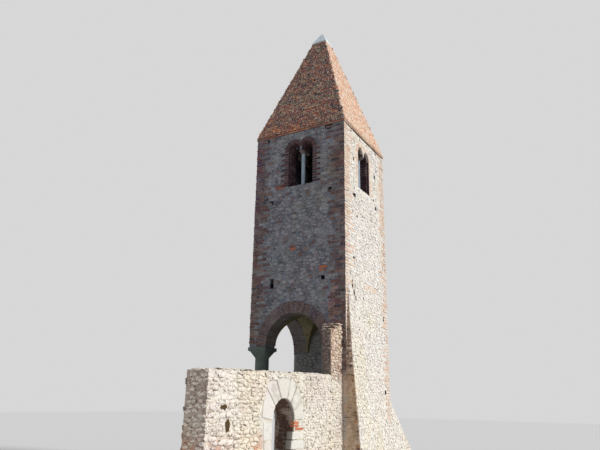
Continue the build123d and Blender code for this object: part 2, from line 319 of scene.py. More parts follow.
def inside_doorway(place):
    """A mask that is 1 within the thickness of the low wall, between the doorway's jambs and under its arch, where the
    mortar is darkened to brown as painted shade.
    """
    return (place.within(X=(0.85, 0.87), Y=(-4.46, -4.45), Z=(1.90, 1.88))
            * place.within(X=(1.27, 1.25), Y=(-3.60, -3.61)))


def rosy_foot(place):
    """A mask of the pinkish mortar low on the wall, beyond its doorway."""
    return place.within(Y=(-4.5, -4.9), Z=(1.35, 1.05)) * place.noise(2.4, 4.0).band(0.40, 0.52)


# Hollows painted dark on the flat mortar as painted shade, each given by its middle along the face, its height, its
# width and how tall it is.
HOLE_IN_REAR = (-0.355, 2.86, 0.20, 0.26)
FRONT_HOLLOWS = [(0.945, 9.06, 0.25, 0.20), HOLE_IN_REAR]
# The last entry is a painted shadow: a long dark line along the top of the right face, under the eave.
RIGHT_HOLLOWS_AND_EAVE_SHADOW = [(-0.84, 7.16, 0.12, 0.09), (0.57, 7.45, 0.10, 0.08), (-0.80, 8.23, 0.10, 0.10),
                 (-0.97, 9.02, 0.12, 0.07), (0.83, 9.03, 0.12, 0.07), (-0.62, 6.60, 0.10, 0.06),
                 (0.30, 6.95, 0.09, 0.06), (-0.98, 4.68, 0.10, 0.26), (-0.88, 4.48, 0.08, 0.20),
                 (-0.79, 4.34, 0.06, 0.16), (0.0, 9.10, 2.7, 0.05)]
LOW_HOLLOWS = [(-5.93, 1.70, 0.22, 0.08), (-5.80, 1.41, 0.14, 0.20)]
# The tower's mortar: bluish grey on the shaded faces as painted shade, near white on the right face as painted
# sunlight.
wall_mortar = mortar(
    "lime_mortar", (146, 152, 164), (114, 118, 134), (58, 56, 62), (252, 247, 238), on_right_face, (180, 180, 182),
    (92, 74, 64), [("X", "Y", -1, FRONT_HOLLOWS, (46, 38, 36)), ("Y", "X", 1, RIGHT_HOLLOWS_AND_EAVE_SHADOW, (82, 66, 54))],
    [(beside_thickening, (226, 204, 188), (194, 172, 156)), (inside_belfry, (58, 52, 62), (46, 42, 54))])
# The low walls' mortar: paler as painted sunlight where it looks to the right or up.
sun_mortar = mortar(
    "painted_sunlit_lime_mortar", (230, 212, 198), (196, 176, 162), (108, 90, 78), (250, 243, 230), in_the_sun,
    (228, 210, 194), (108, 82, 60), [("Y", "X", 1, LOW_HOLLOWS, (88, 70, 44))],
    [(rosy_foot, (230, 186, 164), (218, 172, 150)), (thickening_front, (212, 188, 166), (176, 154, 134)),
     # Painted shade: inside the doorway the mortar is darkened to brown.
     (inside_doorway, (120, 92, 80), (96, 74, 66))])
# The stub's mortar: grey as painted shade, pink-cream as painted sunlight where it looks to the right or up.
stub_mortar = mortar("torn_mortar", (128, 116, 112), (98, 88, 90), (54, 46, 44), (190, 160, 142), in_the_sun,
                     (150, 138, 132))


def dress(material, *names):
    """Gives solid parts their finish."""
    for name in names:
        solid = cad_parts[name].data
        solid.materials.clear()
        solid.materials.append(material)


dress(wall_mortar, *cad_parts)
dress(sun_mortar, "corner_batter", "rear_buttress", "low_wall_near", "low_wall_far", "low_wall_head", "doorway_arch")
dress(stub_mortar, "wall_stub")


# The four faces of the tower: field stones of mixed kinds laid flat in rough courses, with brick quoins toothed
# into them. Each stone is a boss with its foot in the mortar, and each brick a block with worn edges.
def plane(origin, along, outward, up=(0, 0, 1)):
    """A wall's plane, as its origin and its directions along, up and outward."""
    return [np.array(v, float) for v in (origin, along, up, outward)]


HALF = 1.4
WALL = 0.45
INSIDE = HALF - WALL
WALL_TOP = 9.12
COURSE = 0.079
BRICK = 0.28
HEADER = 0.14
JOINT = 0.014
MARGIN = 0.008
FACES = {
    "front": plane((0, -HALF, 0), (1, 0, 0), (0, -1, 0)),
    "right": plane((HALF, 0, 0), (0, 1, 0), (1, 0, 0)),
    "rear": plane((0, HALF, 0), (-1, 0, 0), (0, 1, 0)),
    "left": plane((-HALF, 0, 0), (0, -1, 0), (-1, 0, 0)),
}


def each_face(seed):
    """The four faces in turn, each with its plane and with random numbers of its own."""
    for number, (side, wall) in enumerate(FACES.items()):
        yield side, wall, np.random.default_rng(seed + number)


def on_wall(wall, flat, out):
    """Points in space from places on a wall and how far each stands out of it."""
    origin, along, up, outward = wall
    return origin + flat[..., :1] * along + flat[..., 1:] * up + out[..., None] * outward


def turned_out(wall, faces):
    """Faces drawn for a plane seen from outside, turned where the plane's directions are left-handed."""
    return faces if np.dot(np.cross(wall[1], wall[2]), wall[3]) > 0 else faces[:, ::-1]


def capped(gaps, sides):
    """The triangles of a stone made of outlines that stand one on another and close on a middle point."""
    faces = []
    for ring, k in product(range(gaps), range(sides)):
        a, b = ring * sides + k, ring * sides + (k + 1) % sides
        faces += [(a, b, b + sides), (a, b + sides, a + sides)]
    top = gaps * sides
    return np.array(faces + [(top + k, top + (k + 1) % sides, top + sides) for k in range(sides)])


STONE_FOOT = -0.008
STONE_LEAN = 0.05
STONE_PROFILE = ((0.965, 0.55), (0.80, 0.94), (0.0, 1.0))


def bosses(wall, middle, rim, rise, rng):
    """Stones from their outlines: a foot in the mortar, a steep shoulder, a rounded crown that leans a little.

    The profile gives each ring above the foot as a share of the outline and a share of the rise."""
    n, sides = rim.shape[:2]
    lean = rng.normal(0, STONE_LEAN, (n, 1, 2))
    rings = [on_wall(wall, middle[:, None] + rim, np.full((n, sides), STONE_FOOT))]
    for scale, lift in STONE_PROFILE:
        spots = (rim if scale else rim[:, :1]) * scale
        out = lift * rise[:, None] + (spots * lean).sum(-1)
        if scale:
            out = out + rng.normal(0, 0.0012, out.shape)
        rings.append(on_wall(wall, middle[:, None] + spots, out))
    each = 3 * sides + 1
    faces = (capped(2, sides)[None] + np.arange(n)[:, None, None] * each).reshape(-1, 3)
    # Each point carries its height on the stone, by which the finishes darken the stone's foot as painted shade.
    height = np.tile(np.repeat([0.0, 0.45, 1.0, 1.0], [sides, sides, sides, 1]), n)
    return np.concatenate(rings, 1).reshape(-1, 3), [turned_out(wall, faces)], np.repeat(rng.random(n), each), height


SCATTER = 0.34
SIZES_VARY = 0.20
LOST_SHARE = 0.10
LEAST_REACH, MOST_REACH = 0.12, 1.05


def stones(wall, low, high, free, seed, size=0.088, relief=(0.006, 0.016), sides=12, joint=0.010, long=1.45,
           wander=0.30):
    """Field stones that fill the free part of a wall between two corners, each as big as its neighbours let it."""
    rng = np.random.default_rng(seed)
    step = np.array([size * long, size])
    count = ((np.array(high) - low) / step).astype(int) + 6
    i, j = np.meshgrid(*map(np.arange, count), indexing="ij")
    u = i + 0.5 * (j % 2) + rng.uniform(-SCATTER, SCATTER, i.shape)
    v = j + rng.uniform(-wander, wander, i.shape)
    weight = rng.normal(0, SIZES_VARY, i.shape)
    gone = rng.random(i.shape) < LOST_SHARE
    turn = np.linspace(0, 2 * math.pi, sides, endpoint=False) + 0.3
    inner = (slice(2, -2), slice(2, -2))
    reach = np.full((*u[inner].shape, sides), MOST_REACH)
    for di, dj in product(range(-2, 3), repeat=2):
        if (di, dj) == (0, 0):
            continue
        other = (slice(2 + di, count[0] - 2 + di), slice(2 + dj, count[1] - 2 + dj))
        dx, dy = u[other] - u[inner], v[other] - v[inner]
        gap = np.hypot(dx, dy)
        edge = gap / 2 + (weight[inner] - weight[other]) / (2 * gap) - joint / (2 * size)
        towards = (dx[..., None] * np.cos(turn) + dy[..., None] * np.sin(turn)) / gap[..., None]
        limit = np.where((towards > 0.05) & ~gone[other][..., None], edge[..., None] / np.maximum(towards, 0.05), 9)
        reach = np.minimum(reach, limit)
    kept = (reach.min(-1) > LEAST_REACH) & ~gone[inner]
    reach = reach[kept]
    reach = np.minimum(reach, 0.84 * reach + 0.08 * (np.roll(reach, 1, 1) + np.roll(reach, -1, 1)))
    reach *= rng.uniform(0.90, 1.0, reach.shape)
    middle = (np.stack([u[inner][kept], v[inner][kept]], 1) - 2.5) * step + low
    rim = np.stack([np.cos(turn), np.sin(turn)], -1) * reach[..., None] * step

    def allowed(points):
        return ((points >= low) & (points <= high)).all(-1) & free(points[..., 0], points[..., 1])

    shrink = np.ones(reach.shape)
    for _ in range(8):
        shrink = np.where(allowed(middle[:, None] + rim * shrink[..., None]), shrink, shrink * 0.8)
    fits = allowed(middle) & (shrink.min(1) > 0.25) & (shrink.mean(1) > 0.6)
    middle, rim = middle[fits], (rim * shrink[..., None])[fits]
    return bosses(wall, middle, rim, rng.uniform(*relief, len(middle)), rng)


BLOCK_CORNERS = list(product(range(3), product((-1, 1), repeat=3)))
BLOCK_SIGNS = np.array([signs for _, signs in BLOCK_CORNERS], float)
OWN_AXIS = np.array([[k == axis for k in range(3)] for axis, _ in BLOCK_CORNERS])


def block_faces():
    """The faces of one block with chamfered edges: three corners stand at each of its points, one on each side."""

    def corner(axis, signs):
        return BLOCK_CORNERS.index((axis, tuple(signs[k] for k in range(3))))

    faces = [[corner(axis, signs) for axis in range(3)] for signs in product((-1, 1), repeat=3)]
    for (a, b), sa, sb in product(((0, 1), (1, 2), (0, 2)), (-1, 1), (-1, 1)):
        faces.append([corner(axis, {a: sa, b: sb, 3 - a - b: sc}) for axis, sc in ((a, -1), (a, 1), (b, 1), (b, -1))])
    for a, sa in product(range(3), (-1, 1)):
        b, c = [k for k in range(3) if k != a]
        faces.append([corner(a, {a: sa, b: sb, c: sc}) for sb, sc in ((-1, -1), (1, -1), (1, 1), (-1, 1))])
    spots = np.where(OWN_AXIS, BLOCK_SIGNS, BLOCK_SIGNS * 0.8)
    outside = [np.dot(np.cross(p[1] - p[0], p[2] - p[0]), p.mean(0)) > 0 for p in (spots[face] for face in faces)]
    return [face if out else face[::-1] for face, out in zip(faces, outside)]


BLOCK_FACES = block_faces()


def blocks(centre, axes, half, rng, chamfer=0.006, worn=0.0015, back=True, taper=0.0):
    """Bricks or dressed blocks from their centres, axes and half sizes, with worn edges."""
    half, n, each = np.asarray(half), len(centre), len(BLOCK_CORNERS)
    axes = np.broadcast_to(axes, (n, 3, 3))
    local = BLOCK_SIGNS * np.where(OWN_AXIS, half[:, None], half[:, None] - chamfer)
    local[..., 0] *= 1 + taper * BLOCK_SIGNS[:, 1]
    local += rng.normal(0, worn, local.shape)
    points = (centre[:, None] + np.einsum("nkc,ncd->nkd", local, axes)).reshape(-1, 3)
    hidden = {k for k, (axis, s) in enumerate(BLOCK_CORNERS) if axis == 2 and s[2] < 0 and not back}
    groups = []
    for size in (3, 4):
        one = np.array([f for f in BLOCK_FACES if len(f) == size and not hidden & set(f)])
        groups.append(turned_out((0, *axes[0]), (one[None] + np.arange(n)[:, None, None] * each).reshape(-1, size)))
    return points, groups, np.repeat(rng.random(n), each), np.tile(OWN_AXIS[:, 2] * 1.0, n)


def wall_bricks(wall, u, v, width, height, out, rng, depth=0.05, **more):
    """Bricks whose faces stand a little out of a wall, given by their middles and sizes on it."""
    _, along, up, outward = wall
    u, v, width, height, out = np.broadcast_arrays(*np.atleast_1d(u, v, width, height, out))
    turn = rng.normal(0, 0.012, (len(u), 1))
    a = np.cos(turn) * along + np.sin(turn) * up
    b = np.cos(turn) * up - np.sin(turn) * along
    axes = np.stack([a, b, np.broadcast_to(outward, a.shape)], 1)
    half = np.stack([width / 2, height / 2, (out + depth) / 2], 1)
    return blocks(on_wall(wall, np.stack([u, v], 1), (out - depth) / 2), axes, half, rng, back=False, **more)


def piece(name, heap, material, smooth=False):
    """Joins what was laid into one mesh that rides with the tower and stays inside the model's box."""
    points, tint, height = [np.concatenate([part[k] for part in heap]) for k in (0, 2, 3)]
    faces, at = [], 0
    for part in heap:
        faces += [face for group in part[1] for face in (group + at).tolist()]
        at += len(part[0])
    mesh = bpy.data.meshes.new(name)
    mesh.from_pydata(np.clip(points, *np.array(cad_box)).tolist(), [], faces)
    for field, values in (("tint", tint), ("height", height)):
        mesh.attributes.new(field, "FLOAT", "POINT").data.foreach_set("value", values.astype(np.float32))
    if smooth:
        mesh.shade_smooth()
    mesh.materials.append(material)
    made = stand(name, mesh)
    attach(made, "root")
    return made


def rubble(name, heap, material):
    """Joins rounded stones into one mesh."""
    piece(name, heap, material, smooth=True)


def carried(place, name):
    """A number that each stone or brick carries."""
    return place.node("Attribute", output="Fac", attribute_name=name)


def of_kinds(place, kinds):
    """One of several colours for each stone or brick, by the number that it carries."""
    stops = [(k / len(kinds), tone(kind)) for k, kind in enumerate(kinds)]
    base = place.node("ValToRGB", {0: carried(place, "tint")}, stops=stops)
    base.socket.node.color_ramp.interpolation = "CONSTANT"
    return base


def field_stone(name, kinds, moss, veil, share, speck=0.72, edge=0.55, dashes=None, gaps=None, smear=None, pits=0.0):
    """Stones of several kinds, mottled, mossy in places and partly veiled in mortar, with open joints if wanted.

    Their specks are darker by the share speck, and their low feet, where they meet the mortar, are darkened by the
    share edge as painted shade."""
    material, place = finish(name, 0.2)
    height = carried(place, "height")
    fine = place.noise(60.0, 6.0, 0.65)
    veiled = (place.noise(6.0, 3.0) + carried(place, "tint") * 0.5).band(1.0 - share, 1.12 - share)
    rosy = place.noise(0.9, 3.0).band(0.44, 0.60)
    colour = fine.band(0.35, 0.7).darken(of_kinds(place, kinds), (speck, speck, speck, 1))
    colour = (place.noise(11.0, 4.0).band(0.56, 0.66) * 0.55).blend(colour, tone(moss))
    colour = (veiled * 0.85).blend(colour, tone(veil))
    colour = rosy.darken(colour, (1.0, 0.6 + speck * 0.4, 0.64 + speck * 0.4, 1))
    # Painted shade: each stone is darkened towards its foot, low where it meets the mortar.
    colour = (1 - height.band(0.0, 0.7)).darken(colour, (edge, edge * 0.96, edge * 0.92, 1))
    if smear:
        colour = smeared(place, colour, tone(smear), (speck, speck * 0.97, speck * 0.98, 1))
    if dashes:
        lost = open_joints(place, *gaps) * (1 - height.band(0.70, 1.0) * 0.7)
        colour = (lost * 0.9).blend(colour, tone(dashes))
    if pits:
        colour = (place.noise(25.0).band(0.43, 0.37) * pits).darken(colour, (0.46, 0.40, 0.38, 1))
    return wear(material, colour, fine * 0.2 + 0.72, fine + 0.4 * place.noise(25.0, 3.0), 0.006)


def old_brick(name, kinds, veil, share, soot=(60, 50, 48), lit=None, other=None, fleck=33.0, pits=0.0, smear=None):
    """Hand-made bricks, each fired to its own colour, chipped, sooted and smeared with lime.

    On the sunlit right face the bricks at a corner take paler colours as painted sunlight, and other kinds may lie in
    one place, such as the near black of painted shade deep in the window reveals."""
    material, place = finish(name, 0.2)
    fine = place.noise(80.0, 5.0, 0.6)
    broad = place.noise(9.0, 3.0)
    spots = place.noise(fleck)
    base, veil, soot, smear = of_kinds(place, kinds), tone(veil), tone(soot), smear and tone(smear)
    if other:
        base = other[0](place).blend(base, of_kinds(place, other[1]))
    # Painted sunlight: on the right face the bricks, their lime and their soot take paler lit colours.
    if lit:
        sunny = on_right_face(place)
        base, veil = sunny.blend(base, of_kinds(place, lit)), sunny.blend(veil, tone((240, 230, 214)))
        soot, smear = sunny.blend(soot, tone((208, 178, 154))), smear and sunny.blend(smear, veil)
    colour = fine.band(0.35, 0.75).darken(base, (0.78, 0.76, 0.76, 1))
    colour = (broad.band(0.55, 0.75) * 0.6).blend(colour, soot)
    colour = (spots.band(1.0 - share, 1.08 - share) * 0.8).blend(colour, veil)
    if smear:
        colour = smeared(place, colour, smear, (0.86, 0.84, 0.84, 1), 0.45)
    if pits:
        colour = (spots.band(0.43, 0.36) * pits).darken(colour, (0.35, 0.30, 0.32, 1))
    return wear(material, colour, fine * 0.15 + 0.78, fine + broad * 0.3, 0.004)


def top_of_left_edge(place):
    """A mask that is 1 high up at the front's left edge, where the quoin's bricks are the brightest."""
    return place.within(X=(-1.15, -1.24), Z=(6.2, 8.4))


# Shaded and sunlit copies of one field stone, over real mixed stones and the lime that veils the right face. The
# shaded copy is darker and bluer as painted shade, and the sunlit copy near white as painted sunlight.
shade_stone = field_stone(
    "shaded_field_stone",
    [(144, 148, 156), (122, 126, 136), (152, 150, 150), (138, 118, 122), (112, 116, 124), (174, 176, 180),
     (146, 124, 122), (128, 138, 154), (156, 134, 128), (96, 92, 104), (196, 198, 198), (138, 146, 134),
     (126, 104, 110), (114, 122, 138), (162, 158, 150), (80, 78, 88), (94, 86, 96), (150, 110, 100)],
    (130, 138, 112), (158, 162, 168), 0.40, speck=0.74, edge=0.78, dashes=(58, 52, 56),
    gaps=((11.0, 11.0, 26.0), 0.585), smear=(176, 181, 193), pits=0.80)
sun_stone = field_stone(
    "sunlit_field_stone",
    [(246, 238, 226), (238, 228, 212), (250, 244, 234), (230, 212, 194), (244, 234, 218), (220, 212, 200),
     (246, 226, 210), (206, 186, 168), (250, 246, 238), (238, 222, 204), (228, 222, 214), (188, 170, 154)],
    (242, 228, 216), (254, 250, 242), 0.56, speck=1.0, edge=0.74, dashes=(72, 52, 40),
    gaps=((13.0, 13.0, 26.0), 0.55), smear=(254, 250, 242), pits=0.95)
# Paler lit copies of the bricks' colours, as painted sunlight on the right face.
SUNLIT_BRICKS = [(242, 222, 204), (240, 208, 186), (236, 216, 200), (244, 228, 212), (234, 196, 170), (242, 232, 218)]
quoin_brick = old_brick(
    "quoin_brick",
    [(122, 92, 90), (130, 92, 86), (108, 86, 90), (92, 78, 86), (136, 118, 114), (116, 90, 90), (142, 110, 98),
     (86, 74, 82), (138, 130, 132), (112, 80, 76)],
    (158, 150, 148), 0.44, lit=SUNLIT_BRICKS, smear=(154, 144, 142),
    other=(top_of_left_edge,
           [(126, 68, 76), (110, 66, 88), (94, 63, 92), (136, 80, 80), (102, 74, 106), (84, 62, 94)]))
# The sunlit copy of the bricks, painted pale as sunlit, for the right face.
sun_brick = old_brick("sunlit_brick", SUNLIT_BRICKS, (242, 232, 216), 0.46, soot=(208, 178, 154))

SILL = 7.49
LIGHT_SPRINGING = 8.55
WINDOW_HALF = 0.39
LIGHT_HALF = 0.185
LIGHT_CENTRE = 0.205
LIGHT_RISE = 0.245
LIGHT_RING = 0.125
WINDOW_SHIFT = {"front": 0.055, "right": -0.105, "rear": 0.0, "left": 0.0}
PUTLOG = 0.115
SLOT = 0.27
PUTLOGS = {
    "front": [(-1.049, 9.045), (0.927, 9.045), (0.965, 7.19), (-0.853, 7.10), (0.765, 4.83), (-0.766, 4.795, SLOT)],
    "right": [(0.705, 8.23), (-0.745, 7.17), (0.740, 7.25), (-0.871, 5.365), (1.117, 4.056), (1.093, 2.076)],
    "rear": [(-0.853, 7.19), (0.853, 7.10), (0.765, 5.0)],
    "left": [(0.705, 7.17), (-0.745, 7.25), (-0.745, 5.365)],
}
SPRINGING = 3.15
ARCHES = {"front": (-0.08, 0.82, 0.84), "left": (-0.025, 0.925, 0.93)}
RING = 0.30
PATCH_LOW, PATCH_HIGH = 3.60, 4.74
PATCH_EDGE = (3.6, 4.16, 4.72), (0.95, 0.89, 1.08)
PATCHES = {
    "front": [(-0.59, 7.54, 0.30, 0.16), (-0.15, 5.72, 0.20, 0.15), (0.77, 5.07, 0.24, 0.16)],
    "right": [(0.15, 4.75, 0.9, 0.16), (-0.55, 6.1, 0.3, 0.08)],
    "rear": [(0.5, 6.3, 0.4, 0.16), (-0.3, 4.2, 0.3, 0.16)],
    "left": [(-0.4, 5.9, 0.4, 0.16), (0.3, 6.8, 0.26, 0.16)],
}
LOW_IN, LOW_OUT, LOW_TOP_THERE = 0.84, 1.29, 2.43
BATTER_TOP = 4.9
BATTER_FALL = 1.3
BUTTRESS_INNER, BUTTRESS_TOP = 0.9, 1.9


def arch_radius(half, rise):
    """The radius of both sides of a pointed arch, from half its span and its rise."""
    return (half ** 2 + rise ** 2) / (2 * half)


def in_arch(u, v, middle, springing, half, rise, grow):
    """Whether places on a wall lie under a pointed arch that is grown outwards by its ring."""
    radius = arch_radius(half, rise)
    beside = np.abs(u - middle) + radius - half
    return (v >= springing) & (beside ** 2 + (v - springing) ** 2 < (radius + grow) ** 2)


def clear_of(u, v, holes):
    """Whether places on a wall lie off all holes and patches, each given by its middle, width and height."""
    return np.all([(np.abs(u - x) > wide / 2) | (np.abs(v - z) > tall / 2) for x, z, wide, tall in holes], axis=0)


def batter_top(y):
    """The height of the sloping thickening where it leaves the right face."""
    return BATTER_TOP - BATTER_FALL * (y + HALF)


def patch_left(z):
    """The left edge of the flush brickwork that mends the front face over the stub of the low wall."""
    return np.interp(z, *PATCH_EDGE)


TEETH = [0.13, 0.2, 0.26]
JAMB_TEETH = 0.125, 0.235
DENSE_FROM = 6.6
courses = np.arange(int(WALL_TOP / COURSE))
course_foot = courses * COURSE
course_middle = (courses + 0.5) * COURSE
first = {hand: np.where((courses % 2 == 0) == (hand > 0), BRICK, HEADER) for hand in (-1, 1)}
rng = np.random.default_rng(11)
second = {}
for corner in product(FACES, (-1, 1)):
    toothed = rng.random(len(courses)) < np.where(course_foot > DENSE_FROM, 0.85, 0.6)
    second[corner] = np.where(toothed, rng.choice(TEETH, len(courses)), 0.0)
jamb_teeth = np.where(courses % 2 == 0, *JAMB_TEETH)


def wall_is_free(side):
    """Where field stones may lie on a face: off its quoins, window, arch, holes, mends and thickening."""
    shift = WINDOW_SHIFT[side]
    holes = [(x, z, PUTLOG + 2 * MARGIN, (*tall, PUTLOG)[0] + 2 * MARGIN) for x, z, *tall in PUTLOGS[side]]
    holes += {"front": FRONT_HOLLOWS, "right": RIGHT_HOLLOWS_AND_EAVE_SHADOW}.get(side, []) + PATCHES[side]

    def free(u, v):
        row = np.clip((v / COURSE).astype(int), 0, len(courses) - 1)
        beside = np.abs(u - shift) - WINDOW_HALF
        ok = clear_of(u, v, holes)
        ok &= ~((beside < jamb_teeth[row] + MARGIN) & (v > SILL) & (v < LIGHT_SPRINGING))
        ok &= ~((beside < 0.10) & (v > SILL - COURSE) & (v <= SILL))
        for hand in (-1, 1):
            extra = second[side, hand]
            quoin = (first[hand] + np.where(extra > 0, extra + JOINT, 0))[row] + MARGIN
            ok &= hand * u < HALF - quoin
            middle = shift + hand * LIGHT_CENTRE
            ok &= ~in_arch(u, v, middle, LIGHT_SPRINGING, LIGHT_HALF, LIGHT_RISE, LIGHT_RING + 0.01)
        if side in ARCHES:
            middle, half, rise = ARCHES[side]
            ok &= ~in_arch(u, v, middle, SPRINGING, half, rise, RING + 0.01)
            ok &= (v > SPRINGING) | ((1 if side == "front" else -1) * (u - middle) > half)
        if side == "front":
            ok &= ~((v > PATCH_LOW) & (v < PATCH_HIGH) & (u > patch_left(v)))
            ok &= ~((u > LOW_IN) & (u < LOW_OUT) & (v < LOW_TOP_THERE))
        if side == "right":
            ok &= v > batter_top(u) + 0.01
        if side == "rear":
            ok &= (v > BUTTRESS_TOP) | (u > -BUTTRESS_INNER)
        return ok

    return free


for side, wall, rng in each_face(100):
    laid = stones(wall, (-HALF, 0.0), (HALF, WALL_TOP), wall_is_free(side), rng, size=0.078, long=1.9, wander=0.24,
                  sides=12 if side in ("front", "right") else 9)
    # The right face takes the sunlit copy, as painted sunlight, and the others the shaded copy.
    rubble(f"{side}_face_stones", [laid], sun_stone if side == "right" else shade_stone)

# The quoins: each corner brick turns the corner, long on one face and short on the other by turns,
# and a second brick often lies beyond it, so that the quoin is toothed into the rubble.
CORNER_FROM = {"front": 2.5, "right": -1, "rear": -1, "left": SPRINGING + 0.02}
for (side, wall, rng), beside in zip(each_face(200), ("right", "rear", "left", "front")):
    rows = courses[course_foot > CORNER_FROM[side]]
    out = rng.uniform(0.006, 0.015, len(rows))
    here, there = first[1][rows], first[-1][rows]
    centre = on_wall(wall, np.stack([HALF + (out - here) / 2, course_middle[rows]], 1), (out - there) / 2)
    half = np.stack([(here + out) / 2, np.full(len(rows), (COURSE - JOINT) / 2), (there + out) / 2], 1)
    laid = blocks(centre, np.stack(wall[1:]), half, rng, worn=0.002)
    piece(f"{side}_{beside}_corner_bricks", [laid], quoin_brick)

SECOND_FROM = {
    "front": (SPRINGING + 0.9, -1), "right": (batter_top(-1.1) + 0.1, batter_top(1.1) + 0.1), "rear": (1.95, -1),
    "left": (SPRINGING + 0.9, SPRINGING + 0.9),
}
for side, wall, rng in each_face(300):
    heap = []
    for hand, lowest in zip((-1, 1), SECOND_FROM[side]):
        rows = courses[(second[side, hand] > 0) & (course_foot > lowest)]
        wide = second[side, hand][rows]
        u = hand * (HALF - first[hand][rows] - JOINT - wide / 2)
        heap.append(wall_bricks(wall, u, course_middle[rows], wide, COURSE - JOINT,
                                rng.uniform(0.004, 0.014, len(rows)), rng))
    # On the right face the sunlit copy of the bricks is used, as painted sunlight.
    piece(f"{side}_face_bricks", heap, sun_brick if side == "right" else quoin_brick)


def brickwork(wall, low, high, ends, rng, lengths=(0.12, 0.2, 0.27), pitch=COURSE, out=(0.003, 0.010), **more):
    """Courses of bricks on a plane from one height to another, between two ends or the ends that a height has."""
    rows = max(1, round((high - low) / pitch))
    pitch = (high - low) / rows
    laid = []
    for row in range(rows):
        middle = low + (row + 0.5) * pitch
        start, stop = ends(middle) if callable(ends) else ends
        at = start - rng.uniform(0, 0.1)
        while at < stop - 0.03:
            width = rng.choice(lengths) + JOINT
            left, right = max(at, start), min(at + width, stop)
            if right - left > 0.045:
                laid.append(((left + right) / 2, middle, right - left - JOINT, rng.uniform(*out)))
            at += width
    u, v, width, lift = np.array(laid).T
    return wall_bricks(wall, u, v, width, pitch - JOINT, lift, rng, **more)


# Mends in the faces: bricks laid flush into the rubble, a few here and there, and a larger dark red area over the
# stub, where the low wall's upper part was torn from the front.
patch_brick = old_brick(
    "patch_brick", [(196, 116, 82), (176, 106, 84), (150, 98, 88), (186, 130, 104), (132, 92, 88)],
    (168, 158, 150), 0.40)
flush_brick = old_brick(
    "flush_brick", [(152, 106, 108), (136, 98, 106), (170, 118, 114), (124, 96, 106), (178, 140, 132)],
    (186, 174, 170), 0.40)
for side, wall, rng in each_face(350):
    heap = [brickwork(wall, v - tall / 2, v + tall / 2, (u - wide / 2, u + wide / 2), rng)
            for u, v, wide, tall in PATCHES[side]]
    # On the right face the sunlit copy of the bricks is used, as painted sunlight.
    piece(f"{side}_patch_bricks", heap, sun_brick if side == "right" else patch_brick)
heap = [brickwork(FACES["front"], PATCH_LOW, PATCH_HIGH,
                  lambda z: (patch_left(z), HALF - HEADER - 0.03 - 0.10 * (z % 0.16 > 0.08)), rng, out=(0.001, 0.005))]
piece("front_flush_bricks", heap, flush_brick)


# The belfry windows: each has two pointed lights under arches of small bricks, set in two steps, with brick
# jambs toothed into the rubble and brick reveals. Their slim shafts and capitals are of white stone.
ORDER_STEP = 0.045
ORDER_DEPTH = 0.07
INNER_RING = 0.07
LIGHT_PITCH = 0.062


def strip(wall, u, width, rng):
    """One brick to a course up a narrow strip beside a window."""
    rows = round((LIGHT_SPRINGING - SILL) / COURSE)
    pitch = (LIGHT_SPRINGING - SILL) / rows
    middles = SILL + (np.arange(rows) + 0.5) * pitch
    return wall_bricks(wall, u, middles, width, pitch - JOINT, rng.uniform(0.002, 0.006, rows), rng, depth=0.02)


def voussoirs(wall, middle, springing, half, rise, ring, pitch, deep, rng, out, under=0.004, twin=0):
    """The bricks of a pointed arch, set on edge round it and running from a depth in the wall to another.

    On the side of its twin they are cut short, where they meet the twin's own bricks."""
    origin, along, up, outward = wall
    radius = arch_radius(half, rise)
    back = radius - half
    mid = radius + ring / 2
    top = math.acos(back / mid)
    count = max(3, round(mid * top / pitch))
    laid = []
    for hand, k in product((-1, 1), range(count)):
        angle = (k + 0.5) * top / count + rng.normal(0, 0.004)
        long = ring * rng.uniform(0.93, 1.0)
        if hand == twin:
            long = min(long, (LIGHT_CENTRE + back - radius * math.cos(angle)) / max(0.05, math.cos(angle)) - 0.004)
        if long < 0.03:
            continue
        ray = hand * math.cos(angle) * along + math.sin(angle) * up
        side = hand * -math.sin(angle) * along + math.cos(angle) * up
        cuts = [deep[0], deep[0] + rng.choice([0.13, 0.27]), deep[1]] if deep[1] > 0.3 else deep
        for near, far in zip(cuts, cuts[1:]):
            lift = out + rng.uniform(-0.004, 0.004) if near == deep[0] else -0.006
            drop = under + rng.uniform(-0.003, 0.004)
            spot = (origin + middle * along + springing * up - hand * back * along
                    + ray * (radius + (long - drop) / 2) - outward * ((near + far - lift) / 2))
            size = (mid * top / count / 2 - 0.005, (long + drop) / 2, (far - near + lift) / 2 - 0.002)
            laid.append((spot, (side, ray, outward), size))
    centre, axes, size = [np.array(part) for part in zip(*laid)]
    return blocks(centre, axes, size, rng, chamfer=0.004, taper=ring / mid / 2)


